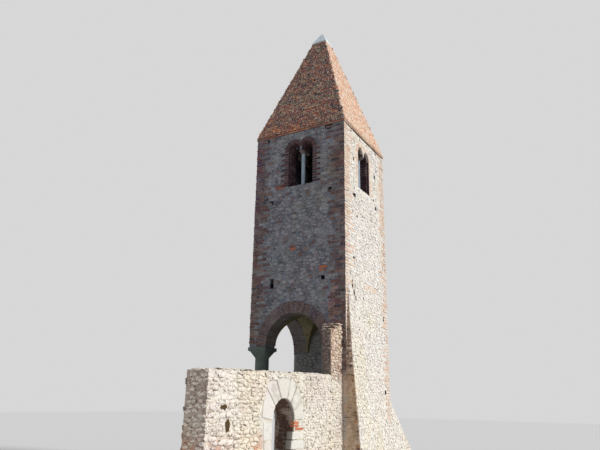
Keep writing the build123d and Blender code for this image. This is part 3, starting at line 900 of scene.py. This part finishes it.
# Deep inside the belfry the reveal bricks turn near black, as painted shade.
reveal_brick = old_brick(
    "window_reveal_brick",
    [(96, 66, 66), (88, 60, 64), (80, 60, 68), (102, 74, 72), (74, 56, 64), (106, 84, 82)], (96, 84, 84), 0.20,
    other=(lambda place: inside_belfry(place, 1.13, 0.13), [(34, 32, 44), (28, 28, 40), (40, 34, 44)]))
surround_brick = old_brick(
    "window_surround_brick",
    [(98, 72, 72), (86, 62, 66), (104, 80, 80), (78, 62, 68), (110, 88, 88), (94, 66, 64)], (122, 110, 110), 0.34)
light_radius = arch_radius(LIGHT_HALF, LIGHT_RISE)
inner_rise = math.sqrt((light_radius - ORDER_STEP) ** 2 - (light_radius - LIGHT_HALF) ** 2)
rows = courses[(course_foot > SILL - 0.01) & (course_foot + COURSE < LIGHT_SPRINGING + 0.03)]
wide = jamb_teeth[rows]
for side, wall, rng in each_face(400):
    origin, along, up, outward = wall
    shift = WINDOW_SHIFT[side]
    facing, inner = [], []
    for hand in (-1, 1):
        facing.append(wall_bricks(wall, shift + hand * (WINDOW_HALF + wide / 2), course_middle[rows], wide - 0.006,
                                  COURSE - JOINT, rng.uniform(0.004, 0.012, len(rows)), rng))
        step, jamb = [plane(origin + along * (shift + hand * (WINDOW_HALF - back)), outward, -hand * along)
                      for back in (0, ORDER_STEP)]
        ledge = [origin - outward * ORDER_DEPTH, along, up, outward]
        inner += [strip(step, -ORDER_DEPTH / 2, ORDER_DEPTH, rng),
                  strip(ledge, shift + hand * (WINDOW_HALF - ORDER_STEP / 2), ORDER_STEP, rng),
                  brickwork(jamb, SILL, LIGHT_SPRINGING, (-WALL, -ORDER_DEPTH), rng, out=(0.002, 0.006), depth=0.03)]
        spot = (shift + hand * LIGHT_CENTRE, LIGHT_SPRINGING)
        facing.append(voussoirs(wall, *spot, LIGHT_HALF, LIGHT_RISE, LIGHT_RING, LIGHT_PITCH, (0.0, ORDER_DEPTH), rng,
                                out=0.009, twin=-hand))
        inner.append(voussoirs(wall, *spot, LIGHT_HALF - ORDER_STEP, inner_rise, INNER_RING, LIGHT_PITCH,
                               (ORDER_DEPTH, WALL), rng, out=0.003, under=0.003))
    # On the right face the sunlit copy of the bricks is used, as painted sunlight.
    piece(f"{side}_window_surround", facing, sun_brick if side == "right" else surround_brick)
    piece(f"{side}_window_reveals", inner, reveal_brick)


# The window shafts, their capitals and the stone that closes the spire: pale marble and limestone, lightly
# streaked, with a matt weathered skin.
def pale_stone(name, pale, vein, dirt, scale=7.0, depth=0.003):
    """Pale stone with soft veins, rain streaks that run down it and a fine worn grain."""
    material, place = finish(name)
    veins = place.noise(scale, 6.0, distortion=1.2)
    runs = place.drawn(9.0, 9.0, 1.2).noise(2.2, 4.0)
    grain = place.noise(120.0, 4.0)
    colour = veins.band(0.42, 0.62).blend(tone(pale), tone(vein))
    colour = (runs.band(0.52, 0.72) * 0.7).blend(colour, tone(dirt))
    return wear(material, colour, grain * 0.2 + 0.55, grain * 0.5 + veins, depth)


marble = pale_stone("window_marble", (168, 184, 200), (150, 168, 184), (118, 128, 138))
capital_stone = pale_stone("window_capital_stone", (120, 108, 102), (100, 88, 84), (74, 66, 64))
dress(marble, *[f"{side}_colonnette" for side in FACES])
dress(capital_stone, *[f"{side}_capital" for side in FACES])


# The open bay at the foot: both arches are rings of brick on edge that run through the whole wall and meet over
# the corner column. The closed walls show rubble inside, and the groin vault is rendered and green with moss.
RING_PITCH = 0.074
PIER_EDGE = ARCHES["front"][0] + ARCHES["front"][1]
VAULT_FOOT = SPRINGING + 0.06
VAULT_RADIUS = 0.90
WALL_INSIDE_TOP = 4.1


def set_back(place):
    """A mask that is 1 behind the walls' outer faces, where render and damp cover the arches' bricks."""
    return place.within(X=(-1.37, -1.28), Y=(-1.37, -1.28))


ring_brick = old_brick(
    "arch_ring_brick",
    [(118, 94, 94), (124, 98, 94), (108, 88, 92), (100, 84, 90), (132, 108, 102), (112, 98, 98), (94, 80, 86)],
    (136, 126, 126), 0.48, smear=(132, 122, 122),
    other=(set_back, [(114, 110, 98), (106, 104, 92), (120, 114, 100), (112, 100, 88)]))
for number, (side, arch) in enumerate(ARCHES.items()):
    rng = np.random.default_rng(510 + number)
    laid = voussoirs(FACES[side], arch[0], SPRINGING, *arch[1:], RING, RING_PITCH, (0.0, WALL), rng, out=0.008)
    piece(f"{side}_arch_bricks", [laid], ring_brick)

inner_stone = field_stone(
    "inner_field_stone",
    [(140, 140, 132), (126, 128, 122), (150, 146, 136), (120, 118, 114), (158, 156, 146), (132, 122, 114)],
    (116, 120, 98), (146, 146, 138), 0.62, speck=0.85, edge=0.75)


def under_vault(u, v):
    """Where a wall of the bay shows under the barrel of the vault."""
    web = VAULT_FOOT + np.sqrt(np.maximum(VAULT_RADIUS ** 2 - u ** 2, 0)) - 0.01
    return (v < SPRINGING) | ((np.abs(u) < VAULT_RADIUS) & (v < web))


def rear_free(u, v):
    return under_vault(u, v) & clear_of(u, v, [HOLE_IN_REAR])


def always(u, v):
    return np.ones(u.shape, bool)


to_front, to_rear, to_left = [(1, 0, 0), (0, -1, 0)], [(-1, 0, 0), (0, 1, 0)], [(0, -1, 0), (-1, 0, 0)]
rubble("bay_inner_stones", [
    stones(plane(*where), low, high, free, seed, sides=8) for where, low, high, free, seed in (
        (((0, INSIDE, 0), *to_front), (-HALF, 0.0), (INSIDE, WALL_INSIDE_TOP), rear_free, 521),
        (((INSIDE, 0, 0), *to_left), (-INSIDE, 0.0), (INSIDE, WALL_INSIDE_TOP), under_vault, 522),
        (((PIER_EDGE, 0, 0), *to_left), (INSIDE, 0.0), (HALF, SPRINGING), always, 523),
        (((0, -INSIDE, 0), *to_rear), (-INSIDE, 0.0), (-PIER_EDGE, SPRINGING), always, 524))
], inner_stone)

# Old render on the vault: buff where it is dry, brown-green with moss and black at the damp edges.
vault_render, place = finish("mossy_vault_render", 0.15)
moss = place.noise(8.0, 6.0, 0.65)
colour = place.noise(2.6, 5.0).band(0.38, 0.62).blend(tone((142, 132, 104)), tone((116, 110, 78)))
colour = moss.band(0.50, 0.66).blend(colour, tone((102, 106, 66)))
colour = moss.band(0.72, 0.56).blend(tone((76, 70, 56)), colour)
wear(vault_render, colour, moss * 0.15 + 0.8, moss + place.noise(120.0, 3.0) * 0.3, 0.010)
dress(vault_render, "base_vault")

# The corner column: one swelling shaft of grey-green stone on a chamfered plinth, under a plain capital that
# spreads to a square impost. Dark pores, damp and pale crusts of lichen spot it from top to foot.
column_stone, place = finish("lichened_column_stone", 0.25)
damp = place.noise(3.2, 5.0)
crust = place.node("TexVoronoi", {"Vector": place, "Scale": 14.0, "Randomness": 1.0}, output="Distance")
crusts = (1 - crust.band(0.10, 0.42)) * place.noise(7.0, 4.0).band(0.52, 0.64)
pores = place.noise(90.0, 5.0, 0.7)
colour = damp.band(0.36, 0.64).blend(tone((108, 120, 114)), tone((82, 94, 90)))
colour = (crusts * 0.85).blend(colour, tone((140, 146, 130)))
colour = (pores.band(0.58, 0.72) * 0.5).blend(colour, tone((82, 94, 90), 0.6))
wear(column_stone, colour, pores * 0.2 + 0.7, pores * 0.6 + damp, 0.006)
dress(column_stone, "column_plinth", "column_shaft", "column_capital", "column_impost")


# The spire: a hollow pyramid of bricks laid flat in level courses, each course cut back behind the one below.
# The hips step with the courses, and the bricks are fired from orange to near black, with lime in their joints.
EAVE = WALL_TOP + 0.06
EAVE_HALF = HALF + 0.02
SPIRE_FOOT = 1.43
SPIRE_RISE = 4.382
CAP_DROP = 0.702
SPIRE_SLANT = math.hypot(SPIRE_FOOT, SPIRE_RISE)


def orange_patches(place):
    """A mask of the spire's orange bricks: its lowest courses towards the left, and patches of mending."""
    lowest = place.within(Z=(EAVE + 0.44, EAVE + 0.20), X=(0.9, 0.0))
    patches = place.noise(1.5, 3.0).band(0.58, 0.62) * place.within(Z=(EAVE + 2.2, EAVE + 1.4))
    return place.noise(7.0).band(0.40, 0.50) * lowest.either(patches)


# Shaded and sunlit copies of the spire's bricks: the right slope takes the sunlit copy, whose pale colours are painted
# sunlight.
spire_brick = old_brick(
    "shaded_spire_brick",
    [(192, 126, 106), (174, 118, 106), (156, 110, 106), (136, 100, 102), (204, 142, 110), (166, 128, 114),
     (124, 102, 104), (186, 110, 92), (188, 162, 138), (112, 90, 94), (212, 158, 128), (164, 102, 94),
     (176, 140, 120), (154, 148, 126), (142, 118, 118), (92, 80, 86), (176, 118, 108)],
    (240, 228, 210), 0.45, soot=(116, 98, 98), fleck=30.0, pits=0.8, other=(orange_patches, [
        (206, 118, 82), (190, 108, 84), (220, 134, 86), (174, 104, 86), (214, 154, 118), (186, 124, 104)]))
sun_spire_brick = old_brick(
    "sunlit_spire_brick",
    [(250, 214, 188), (248, 200, 170), (244, 208, 184), (250, 224, 200), (242, 192, 164), (248, 228, 206),
     (246, 184, 148)],
    (250, 240, 222), 0.46, soot=(236, 190, 158), fleck=26.0, pits=0.16)
# The spire's mortar is painted pale as sunlit where it looks to the right and darker as shaded elsewhere.
spire_mortar = mortar("spire_mortar", (138, 120, 112), (114, 98, 96), (70, 58, 58), (240, 222, 200), in_the_sun)
dress(spire_mortar, "spire", "eave_course")


def unit(v):
    return np.array(v, float) / np.linalg.norm(v)


def sloping(origin, along, up):
    """A plane that leans, from its origin and its directions along and up it."""
    return [np.array(origin, float), unit(along), unit(up), np.cross(unit(along), unit(up))]


def spire_ends(v):
    """Both hips of a slope at a distance up it, where the bricks turn the corner and stand out unevenly."""
    half = SPIRE_FOOT * (1 - v / SPIRE_SLANT)
    most = 0.022 + 0.030 * min(v, 0.4)
    return (-half - rng.uniform(0, most), half + rng.uniform(0, most))


for side, (_, along, up, outward), rng in each_face(600):
    slope = sloping(outward * SPIRE_FOOT + up * EAVE, along, up * SPIRE_RISE - outward * SPIRE_FOOT)
    laid = brickwork(slope, 0.004, SPIRE_SLANT * (1 - CAP_DROP / SPIRE_RISE), spire_ends, rng,
                     lengths=(0.05, 0.065, 0.08, 0.09, 0.11, 0.14), pitch=0.0795, out=(0.002, 0.024), depth=0.04,
                     chamfer=0.009, worn=0.0035)
    # The right slope takes the sunlit copy, as painted sunlight.
    piece(f"{side}_spire_bricks", [laid], sun_spire_brick if side == "right" else spire_brick)

rng = np.random.default_rng(620)
heap = [brickwork([outward * EAVE_HALF, along, up, outward], WALL_TOP, EAVE, (-EAVE_HALF - 0.008, EAVE_HALF + 0.008),
                  rng, lengths=(0.26, 0.28, 0.13), pitch=0.06, out=(0.002, 0.014), chamfer=0.008, worn=0.003)
        for _, along, up, outward in FACES.values()]
# The eave bricks take paler lit colours on the right face, as painted sunlight.
eave_brick = old_brick(
    "eave_brick", [(184, 120, 94), (166, 104, 86), (196, 138, 108), (148, 102, 92), (180, 110, 80)],
    (206, 190, 170), 0.42, lit=[(214, 166, 136), (196, 148, 122), (222, 182, 152)])
piece("eave_bricks", heap, eave_brick)

cap_stone = pale_stone("cap_limestone", (234, 246, 255), (222, 236, 246), (200, 206, 196), scale=4.0, depth=0.008)
dress(cap_stone, "cap_stone")


# The thickening: a skin of rubble added to the right face, deepest at the front corner's foot, with a front of
# mixed brick and stone that leans back over its upper part. Behind the tower a buttress rakes down to the ground.
BATTER_FOOT = 0.39
BATTER_LEAN = BATTER_FOOT / BATTER_TOP
LEAN_FROM = 2.6
LEAN = 0.13
BUTTRESS_TOE = 0.08
BUTTRESS_REACH = 2.15


def skin_x(y, z):
    """How far out the thickening stands at a place along the face and a height."""
    return HALF + BATTER_LEAN * (batter_top(y) - z)


slope_out = (1.0, BATTER_LEAN * BATTER_FALL, BATTER_LEAN)
slope_along = np.cross((0, 0, 1), slope_out)
slope = sloping((HALF + BATTER_FOOT, -HALF, 0.0), slope_along, np.cross(slope_out, slope_along))


def slope_free(u, v):
    """Where the sloping face exists, as places measured on it from its foot at the front."""
    y, z = [slope[0][k] + u * slope[1][k] + v * slope[2][k] for k in (1, 2)]
    leaning = -HALF + LEAN * np.clip((z - LEAN_FROM) / (BATTER_TOP - LEAN_FROM), 0, 1)
    return (y > leaning + 0.005) & (y < HALF - 0.005) & (z < batter_top(y) - 0.03) & (z > 0.005)


# The sunlit copy of the stones, with its painted sunlight, covers the thickening's slope.
rubble("batter_stones", [stones(slope, (-0.2, 0.0), (3.2, 5.0), slope_free, 702, size=0.082, relief=(0.006, 0.018),
                                sides=9)], sun_stone)
upper = sloping((0, -HALF, LEAN_FROM), (1, 0, 0), (0, LEAN, BATTER_TOP - LEAN_FROM))
rng = np.random.default_rng(701)


def broken_edge(v):
    """How far across the front of the thickening its layers reach, each to a ragged outer end."""
    end = skin_x(-HALF + LEAN * v / (BATTER_TOP - LEAN_FROM), LEAN_FROM + v)
    return HALF + 0.006, end + rng.uniform(-0.012, 0.006)


layer_brick = old_brick(
    "batter_layer_brick",
    [(184, 162, 150), (150, 128, 122), (214, 194, 180), (116, 100, 98), (168, 144, 132), (230, 214, 198),
     (132, 116, 112), (196, 168, 150)],
    (230, 214, 198), 0.44, pits=0.8)
heap = [brickwork(upper, low, high, broken_edge, rng, lengths=(0.05, 0.07, 0.10), pitch=0.058, out=out)
        for low, high, out in ((0.0, 0.7, (0.004, 0.050)), (0.7, 2.1, (0.0, 0.030)))]
piece("batter_layers", heap, layer_brick)

BRICK_AREAS = ((0.25, 0.42, 0.14), (0.60, 0.92, 0.16), (1.36, 1.62, 0.12), (1.90, 2.14, 0.08), (2.26, 2.42, 0.07))
heap = [brickwork(FACES["front"], low, high,
                  lambda v: (skin_x(-HALF, v) - wide * rng.uniform(0.5, 1.0), skin_x(-HALF, v) + 0.004), rng,
                  lengths=(0.06, 0.09, 0.14), pitch=0.068, out=(0.002, 0.022)) for low, high, wide in BRICK_AREAS]
batter_brick = old_brick(
    "batter_front_brick",
    [(176, 130, 92), (150, 118, 100), (128, 96, 84), (168, 150, 110), (142, 124, 92), (188, 146, 104)],
    (186, 166, 146), 0.46)
piece("batter_front_bricks", heap, batter_brick)

rake = (BUTTRESS_TOP - BUTTRESS_TOE) / BUTTRESS_REACH
rake_long = math.hypot(BUTTRESS_REACH, BUTTRESS_TOP - BUTTRESS_TOE)
buttress_end = HALF + BUTTRESS_REACH


def beside_buttress(u, v):
    return v < BUTTRESS_TOP - (np.abs(u) - HALF) * rake - 0.01


# The sunlit copy of the stones, with its painted sunlight, covers the buttress.
rubble("buttress_stones", [
    stones(FACES["right"], (HALF, 0.0), (buttress_end - 0.02, BUTTRESS_TOP), beside_buttress, 711, sides=8),
    stones(plane((BUTTRESS_INNER, 0, 0), *to_left), (0.02 - buttress_end, 0.0), (-HALF, BUTTRESS_TOP),
           beside_buttress, 712, sides=8),
    stones(sloping((0, buttress_end, BUTTRESS_TOE), (-1, 0, 0), (0, -1, rake)), (-HALF, 0.02),
           (-BUTTRESS_INNER, rake_long - 0.02), always, 713, size=0.10, relief=(0.010, 0.03), sides=9),
], sun_stone)


# The low ruined wall: rubble laid with thin flat stones and open joints, ragged along its top, with a doorway
# whose arch is five long pale voussoirs and a keystone. Its jambs are part brick and part squared pale stone.
LOW_END = -6.4
LOW_TOP = 2.342
LOW_FALL = 0.026
DOOR = -4.03
DOOR_HALF = 0.41
DOOR_SPRINGING = 1.46
VOUSSOIR = 0.35
PALE_JAMB, FAR_JAMB, JAMB_TOP = -3.24, -4.76, 1.47
SMALLER_FROM = DOOR + DOOR_HALF + 0.35


def low_top(y):
    """The height of the ruined top, which falls away from the tower."""
    return LOW_TOP + LOW_FALL * (y - DOOR)


def low_free(sign):
    """Where small stones lie on a side of the low wall, round its doorway."""

    def free(u, v):
        y = sign * u
        ok = v < low_top(y) - 0.005
        ok &= ~((np.abs(y - DOOR) < DOOR_HALF + 0.01) & (v < DOOR_SPRINGING + 0.05))
        ok &= ~((v >= DOOR_SPRINGING - 0.06) & (np.hypot(y - DOOR, v - DOOR_SPRINGING) < DOOR_HALF + VOUSSOIR + 0.03))
        if sign > 0:
            ok &= clear_of(y, v, LOW_HOLLOWS) & ~((y > FAR_JAMB) & (y < PALE_JAMB) & (v < JAMB_TOP))
        return ok

    return free


low_stone = field_stone(
    "low_wall_stone",
    [(248, 242, 230), (238, 228, 212), (250, 246, 236), (228, 208, 184), (244, 232, 216), (252, 247, 238),
     (234, 202, 176), (240, 236, 230), (206, 186, 160), (246, 226, 190), (228, 222, 214), (244, 238, 224)],
    (240, 222, 196), (250, 243, 230), 0.52, speck=0.90, edge=0.80, dashes=(92, 68, 50), gaps=((8.0, 8.0, 25.0), 0.55),
    smear=(250, 243, 230), pits=0.95)
outer_side = plane((LOW_OUT, 0, 0), (0, 1, 0), (1, 0, 0))
inner_side = plane((LOW_IN, 0, 0), *to_left)
top_side = plane((0, DOOR, LOW_TOP), (1, 0, 0), (0, -LOW_FALL, 1), (0, 1, LOW_FALL))
rubble("low_wall_outer_stones", [
    stones(outer_side, (LOW_END, 0.0), (SMALLER_FROM, 2.5), low_free(1), 801, size=0.070, relief=(0.006, 0.024),
           sides=14, joint=0.005, long=2.3, wander=0.16),
    stones(outer_side, (SMALLER_FROM, 0.0), (-HALF, 2.5), low_free(1), 804, size=0.056, relief=(0.005, 0.018),
           joint=0.005, long=2.0, wander=0.2),
], low_stone)
rubble("low_wall_inner_stones", [
    stones(inner_side, (HALF, 0.0), (-LOW_END, 2.5), low_free(-1), 802, size=0.085, relief=(0.006, 0.02), sides=8,
           long=1.7),
    stones(top_side, (LOW_IN, LOW_END - DOOR), (LOW_OUT, -HALF - DOOR), always, 803, size=0.12, relief=(0.01, 0.04),
           sides=9),
], low_stone)

# The doorway's stones. Each arch stone is given by the angles of its inner edge and by the angles and radii of its
# split outer edge, and each jamb stone by its corners, as place along the wall and height.
INNER_RADIUS = 0.404
DOOR_RING = [
    ((0, 12, 25), ((26, 0.80), (13, 0.775), (1, 0.75))),
    ((27, 40, 50), ((53, 0.836), (40, 0.80), (28, 0.795))),
    ((52, 63, 73), ((74, 0.80), (63, 0.83), (55, 0.84))),
    ((75, 90, 104), ((112, 0.80), (92, 0.78), (74.5, 0.79))),
    ((106, 122, 139), ((137, 0.92), (124, 0.86), (113.5, 0.80))),
    ((141, 160, 179), ((175, 0.76), (157, 0.80), (138.5, 0.91))),
]
DOOR_JAMB = [
    [(-3.44, 1.335), (-3.25, 1.34), (-3.24, 1.45), (-3.45, 1.45)],
    [(-3.74, 0.93), (-3.24, 0.91), (-3.25, 1.08), (-3.72, 1.09)],
    [(-3.70, 1.105), (-3.26, 1.095), (-3.27, 1.25), (-3.68, 1.245)],
    [(-3.62, 0.60), (-3.28, 0.62), (-3.27, 0.895), (-3.625, 0.91)],
    [(-3.63, 0.28), (-3.30, 0.27), (-3.29, 0.60), (-3.62, 0.58)],
    [(-3.62, 0.01), (-3.31, 0.01), (-3.30, 0.25), (-3.625, 0.26)],
    [(-4.72, 1.12), (-4.44, 1.13), (-4.435, 1.44), (-4.74, 1.44)],
    [(-4.68, 0.80), (-4.44, 0.79), (-4.44, 1.11), (-4.70, 1.10)],
    [(-4.76, 0.42), (-4.44, 0.43), (-4.44, 0.77), (-4.73, 0.78)],
    [(-4.70, 0.01), (-4.44, 0.01), (-4.44, 0.41), (-4.72, 0.40)],
]
FLUSH_JAMB = DOOR_JAMB[3:]


BEVEL = 0.014


def slabs(wall, outlines, out, depth, rng):
    """Squared stones cut to outlines on a wall, from a depth inside it to their split faces, with worn edges."""
    cut = []
    for outline in outlines:
        corners = np.array(outline, float)
        ahead = np.roll(corners, -1, 0)
        if (corners[:, 0] * ahead[:, 1] - corners[:, 1] * ahead[:, 0]).sum() < 0:
            corners = corners[::-1]
            ahead = np.roll(corners, -1, 0)
        rim = np.stack([corners + (ahead - corners) * t for t in (0, 0.25, 0.5, 0.75)], 1).reshape(-1, 2)
        sides, middle = len(rim), rim.mean(0)
        arm = rim - middle
        long = np.linalg.norm(arm, axis=1, keepdims=True)
        lift = rng.uniform(*out)
        rings = [(arm, -depth), (arm * (1 - rng.uniform(0, 0.004, (sides, 1)) / long), lift - BEVEL),
                 (arm * (1 - BEVEL / long), lift + rng.normal(0, 0.0015, sides)),
                 (arm * 0.5, lift + rng.normal(0.003, 0.003, sides)), (arm[:1] * 0, lift + 0.004)]
        points = [on_wall(wall, middle + flat, np.broadcast_to(stand_out, len(flat))) for flat, stand_out in rings]
        cut.append((np.concatenate(points), [turned_out(wall, capped(3, sides))], np.full(4 * sides + 1, rng.random()),
                    np.repeat([0.0, 0.25, 1.0, 1.0], [sides, sides, sides, sides + 1])))
    return cut


def round_door(angle, radius):
    """A place on the wall at an angle and a radius from the middle of the doorway's arch."""
    return DOOR + radius * math.cos(math.radians(angle)), DOOR_SPRINGING + radius * math.sin(math.radians(angle))


def mirrored(outlines):
    """The same outlines as they lie on the wall's other side."""
    return [[(-y, z) for y, z in stone] for stone in outlines]


rng = np.random.default_rng(811)
ring = [[round_door(angle, INNER_RADIUS) for angle in inner] + [round_door(*spot) for spot in outer]
        for inner, outer in DOOR_RING]
heap = (slabs(outer_side, ring, (0.012, 0.022), 0.05, rng)
        + slabs(inner_side, mirrored(ring), (0.010, 0.018), 0.05, rng)
        + slabs(outer_side, DOOR_JAMB, (0.008, 0.018), 0.12, rng)
        + slabs(inner_side, mirrored(FLUSH_JAMB), (0.008, 0.016), 0.12, rng))
# Painted shade: the sides of these stones, their returns into the doorway, are darkened strongly by the share edge.
door_stone = field_stone(
    "doorway_stone",
    [(234, 228, 218), (224, 218, 208), (236, 232, 224), (218, 212, 200), (230, 220, 208), (228, 220, 214)],
    (214, 210, 196), (236, 232, 222), 0.30, speck=0.90, edge=0.36)
piece("doorway_stones", heap, door_stone)

PATCH_FOOT, PATCH_STEP, PATCH_HEAD = 1.265, 1.33, 1.44
PATCH_BELOW, PATCH_ABOVE = (-3.58, -3.25), (-3.64, -3.46)
heap = [brickwork(outer_side, PATCH_FOOT, PATCH_HEAD, lambda v: PATCH_ABOVE if v > PATCH_STEP else PATCH_BELOW, rng,
                  pitch=0.058, out=(0.006, 0.02), depth=0.09)]
jamb_brick = old_brick(
    "doorway_patch_brick", [(236, 156, 118), (226, 140, 104), (240, 180, 146), (214, 128, 98)],
    (240, 218, 194), 0.36, soot=(186, 126, 98))
piece("doorway_patch_bricks", heap, jamb_brick)
near_jamb, far_jamb = plane((0, DOOR + DOOR_HALF, 0), *to_front), plane((0, DOOR - DOOR_HALF, 0), *to_rear)
REVEAL_IN, REVEAL_OUT = LOW_IN + 0.1, 1.17
heap = [brickwork(near_jamb, 0.0, DOOR_SPRINGING, (REVEAL_IN, REVEAL_OUT), rng, out=(0.002, 0.012), depth=0.03),
        brickwork(far_jamb, 0.0, DOOR_SPRINGING, (-REVEAL_OUT, -REVEAL_IN), rng, out=(0.002, 0.010), depth=0.03)]
door_reveal_brick = old_brick(
    "doorway_reveal_brick", [(116, 84, 76), (104, 78, 70), (126, 92, 78), (96, 74, 70), (112, 96, 80)],
    (108, 92, 78), 0.5)
piece("doorway_reveal_bricks", heap, door_reveal_brick)


# The ruin's broken edges: the torn stub of the wall's upper part on the tower's front, and the loose stones
# along the wall's top and its far end. Rounded lumps of stone and mortar stand out of the core at all angles.
def lumps(spots, outwards, sizes, rng, flat):
    """Rounded stones bedded in a broken surface, each a dented ball pressed flat against it."""
    rings, sides = 4, 7
    polar = np.linspace(0, math.pi * 0.62, rings + 1)[1:]
    turn = np.linspace(0, 2 * math.pi, sides, endpoint=False)
    ball = np.array([(0, 0, 1)] + [(math.sin(p) * math.cos(t), math.sin(p) * math.sin(t), math.cos(p))
                                   for p, t in product(polar, turn)])
    faces = (len(ball) - 1 - capped(rings - 1, sides))[:, ::-1]
    laid = []
    for spot, normal, size in zip(spots, outwards, sizes):
        normal = unit(normal + rng.normal(0, 0.12, 3))
        level = unit(np.cross(normal, rng.normal(0, 0.25, 3) + (0, 0, 1) if abs(normal[2]) < 0.8 else (0, 1, 0)))
        dented = ball * (1 + rng.normal(0, 0.07, (len(ball), 1)))
        shape = dented * (size * rng.uniform(1.0, 1.4), size * rng.uniform(0.6, 0.9), size * flat)
        laid.append((spot + shape @ np.stack([level, np.cross(normal, level), normal]), [faces],
                     np.full(len(ball), rng.random()), np.clip(ball[:, 2] * 1.5 + 0.4, 0, 1)))
    return laid


def strewn(name, count, rng):
    """Random places on the level parts of a solid's surface, with the way out of the surface there."""
    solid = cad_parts[name].data
    solid.calc_loop_triangles()
    spots = np.array([v.co for v in solid.vertices])
    a, b, c = spots[np.array([t.vertices for t in solid.loop_triangles])].transpose(1, 0, 2)
    cross = np.cross(b - a, c - a)
    area = np.linalg.norm(cross, axis=1)
    pick = rng.choice(len(area), count * 4, p=area / area.sum())
    share = rng.random((count * 4, 2))
    share = np.where(share.sum(1, keepdims=True) > 1, 1 - share, share)
    spots = a[pick] + share[:, :1] * (b - a)[pick] + share[:, 1:] * (c - a)[pick]
    outwards = (cross / area[:, None])[pick]
    good = outwards[:, 2] > 0.5
    return spots[good][:count], outwards[good][:count]


# Lit and shaded copies of the stub's stones. The cream copy on its outer side and top is partly painted sunlight. The
# grey copy on its front and slant is painted shade over grey and greenish stones of its own.
stub_stone = field_stone(
    "stub_stone",
    [(236, 222, 202), (206, 178, 160), (244, 236, 222), (182, 152, 138), (230, 210, 184), (162, 136, 124),
     (224, 198, 178), (130, 108, 98), (242, 230, 212)],
    (226, 208, 170), (238, 224, 206), 0.42, speck=0.80, edge=0.42, smear=(226, 206, 188), pits=0.75)
shaded_stub_stone = field_stone(
    "stub_stone_in_painted_shade",
    [(134, 118, 118), (118, 120, 112), (142, 122, 118), (124, 108, 106), (108, 100, 100), (158, 140, 132),
     (112, 98, 100)],
    (118, 122, 104), (146, 134, 130), 0.46, speck=0.76, edge=0.6, smear=(156, 144, 138), pits=0.5)
STUB_END = -2.0
STUB_NECK = 1.08
STUB_FOOT = 2.4
STUB_TOP = 3.62
STUB_TEAR = 0.40


def below_tear(u, v):
    """The part of the stub's outer side that stands, under its stepped and torn top."""
    return v < STUB_TOP + STUB_TEAR * (u + HALF)


rng = np.random.default_rng(821)
torn = {"size": 0.064, "relief": (0.008, 0.030), "joint": 0.005, "long": 1.6}
spots, outwards = strewn("wall_stub", 200, rng)
heap = [stones(outer_side, (STUB_END, STUB_FOOT - 0.1), (-HALF, STUB_TOP), below_tear, 822, **torn)]
heap += lumps(spots - outwards * 0.01, outwards, rng.uniform(0.03, 0.06, len(spots)), rng, 0.5)
rubble("stub_side_stones", heap, stub_stone)
slant_way = (LOW_IN - STUB_NECK, -HALF - STUB_END, 0)
slant_long = math.hypot(*slant_way)
across_slant, along_slant, _ = unit(slant_way)
rubble("stub_front_stones", [
    stones(plane((0, STUB_END, 0), *to_front), (STUB_NECK, STUB_FOOT), (LOW_OUT, 3.42), always, 823, **torn),
    stones(plane((STUB_NECK, STUB_END, 0), unit(slant_way), (-along_slant, across_slant, 0)), (0.0, STUB_FOOT),
           (slant_long, 3.45), always, 824, **torn),
], shaded_stub_stone)

CREST_STONES = 150
along_top = np.sort(rng.uniform(LOW_END + 0.04, -HALF - 0.1, CREST_STONES))
across_top = rng.uniform(LOW_IN + 0.05, LOW_OUT - 0.05, CREST_STONES)
spots = np.stack([across_top, along_top, low_top(along_top) + 0.002], 1)
heap = lumps(spots, np.tile((0.0, 0.0, 1.0), (CREST_STONES, 1)), rng.uniform(0.05, 0.10, CREST_STONES), rng, 0.35)
rubble("low_wall_crest_stones", heap, low_stone)

# The far part of the low wall ends in a torn face: its core stops a little short, and end stones close it.
CORE_END = LOW_END + 0.025
shoulder = DOOR - DOOR_HALF - VOUSSOIR - 0.04
outline = [(CORE_END, 0), (DOOR - DOOR_HALF, 0), (DOOR - DOOR_HALF, DOOR_SPRINGING), (shoulder, DOOR_SPRINGING),
           (shoulder, low_top(shoulder)), (CORE_END, low_top(CORE_END))]
core_points = np.array([(x, y, z) for x in (LOW_OUT, LOW_IN) for y, z in outline])
core_faces = [np.array([range(6), range(11, 5, -1)]),
              np.array([(k, k + 6, (k + 1) % 6 + 6, (k + 1) % 6) for k in range(6)])]
core = piece("low_wall_far_core", [(core_points, core_faces, np.zeros(12), np.zeros(12))], sun_mortar)
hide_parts("low_wall_far")
rubble("low_wall_end_stones", [
    stones(plane((0, CORE_END, 0), *to_front), (LOW_IN, 0.0), (LOW_OUT, 2.28), always, 831, size=0.07,
           relief=(0.006, 0.022), sides=9, long=1.9),
], low_stone)
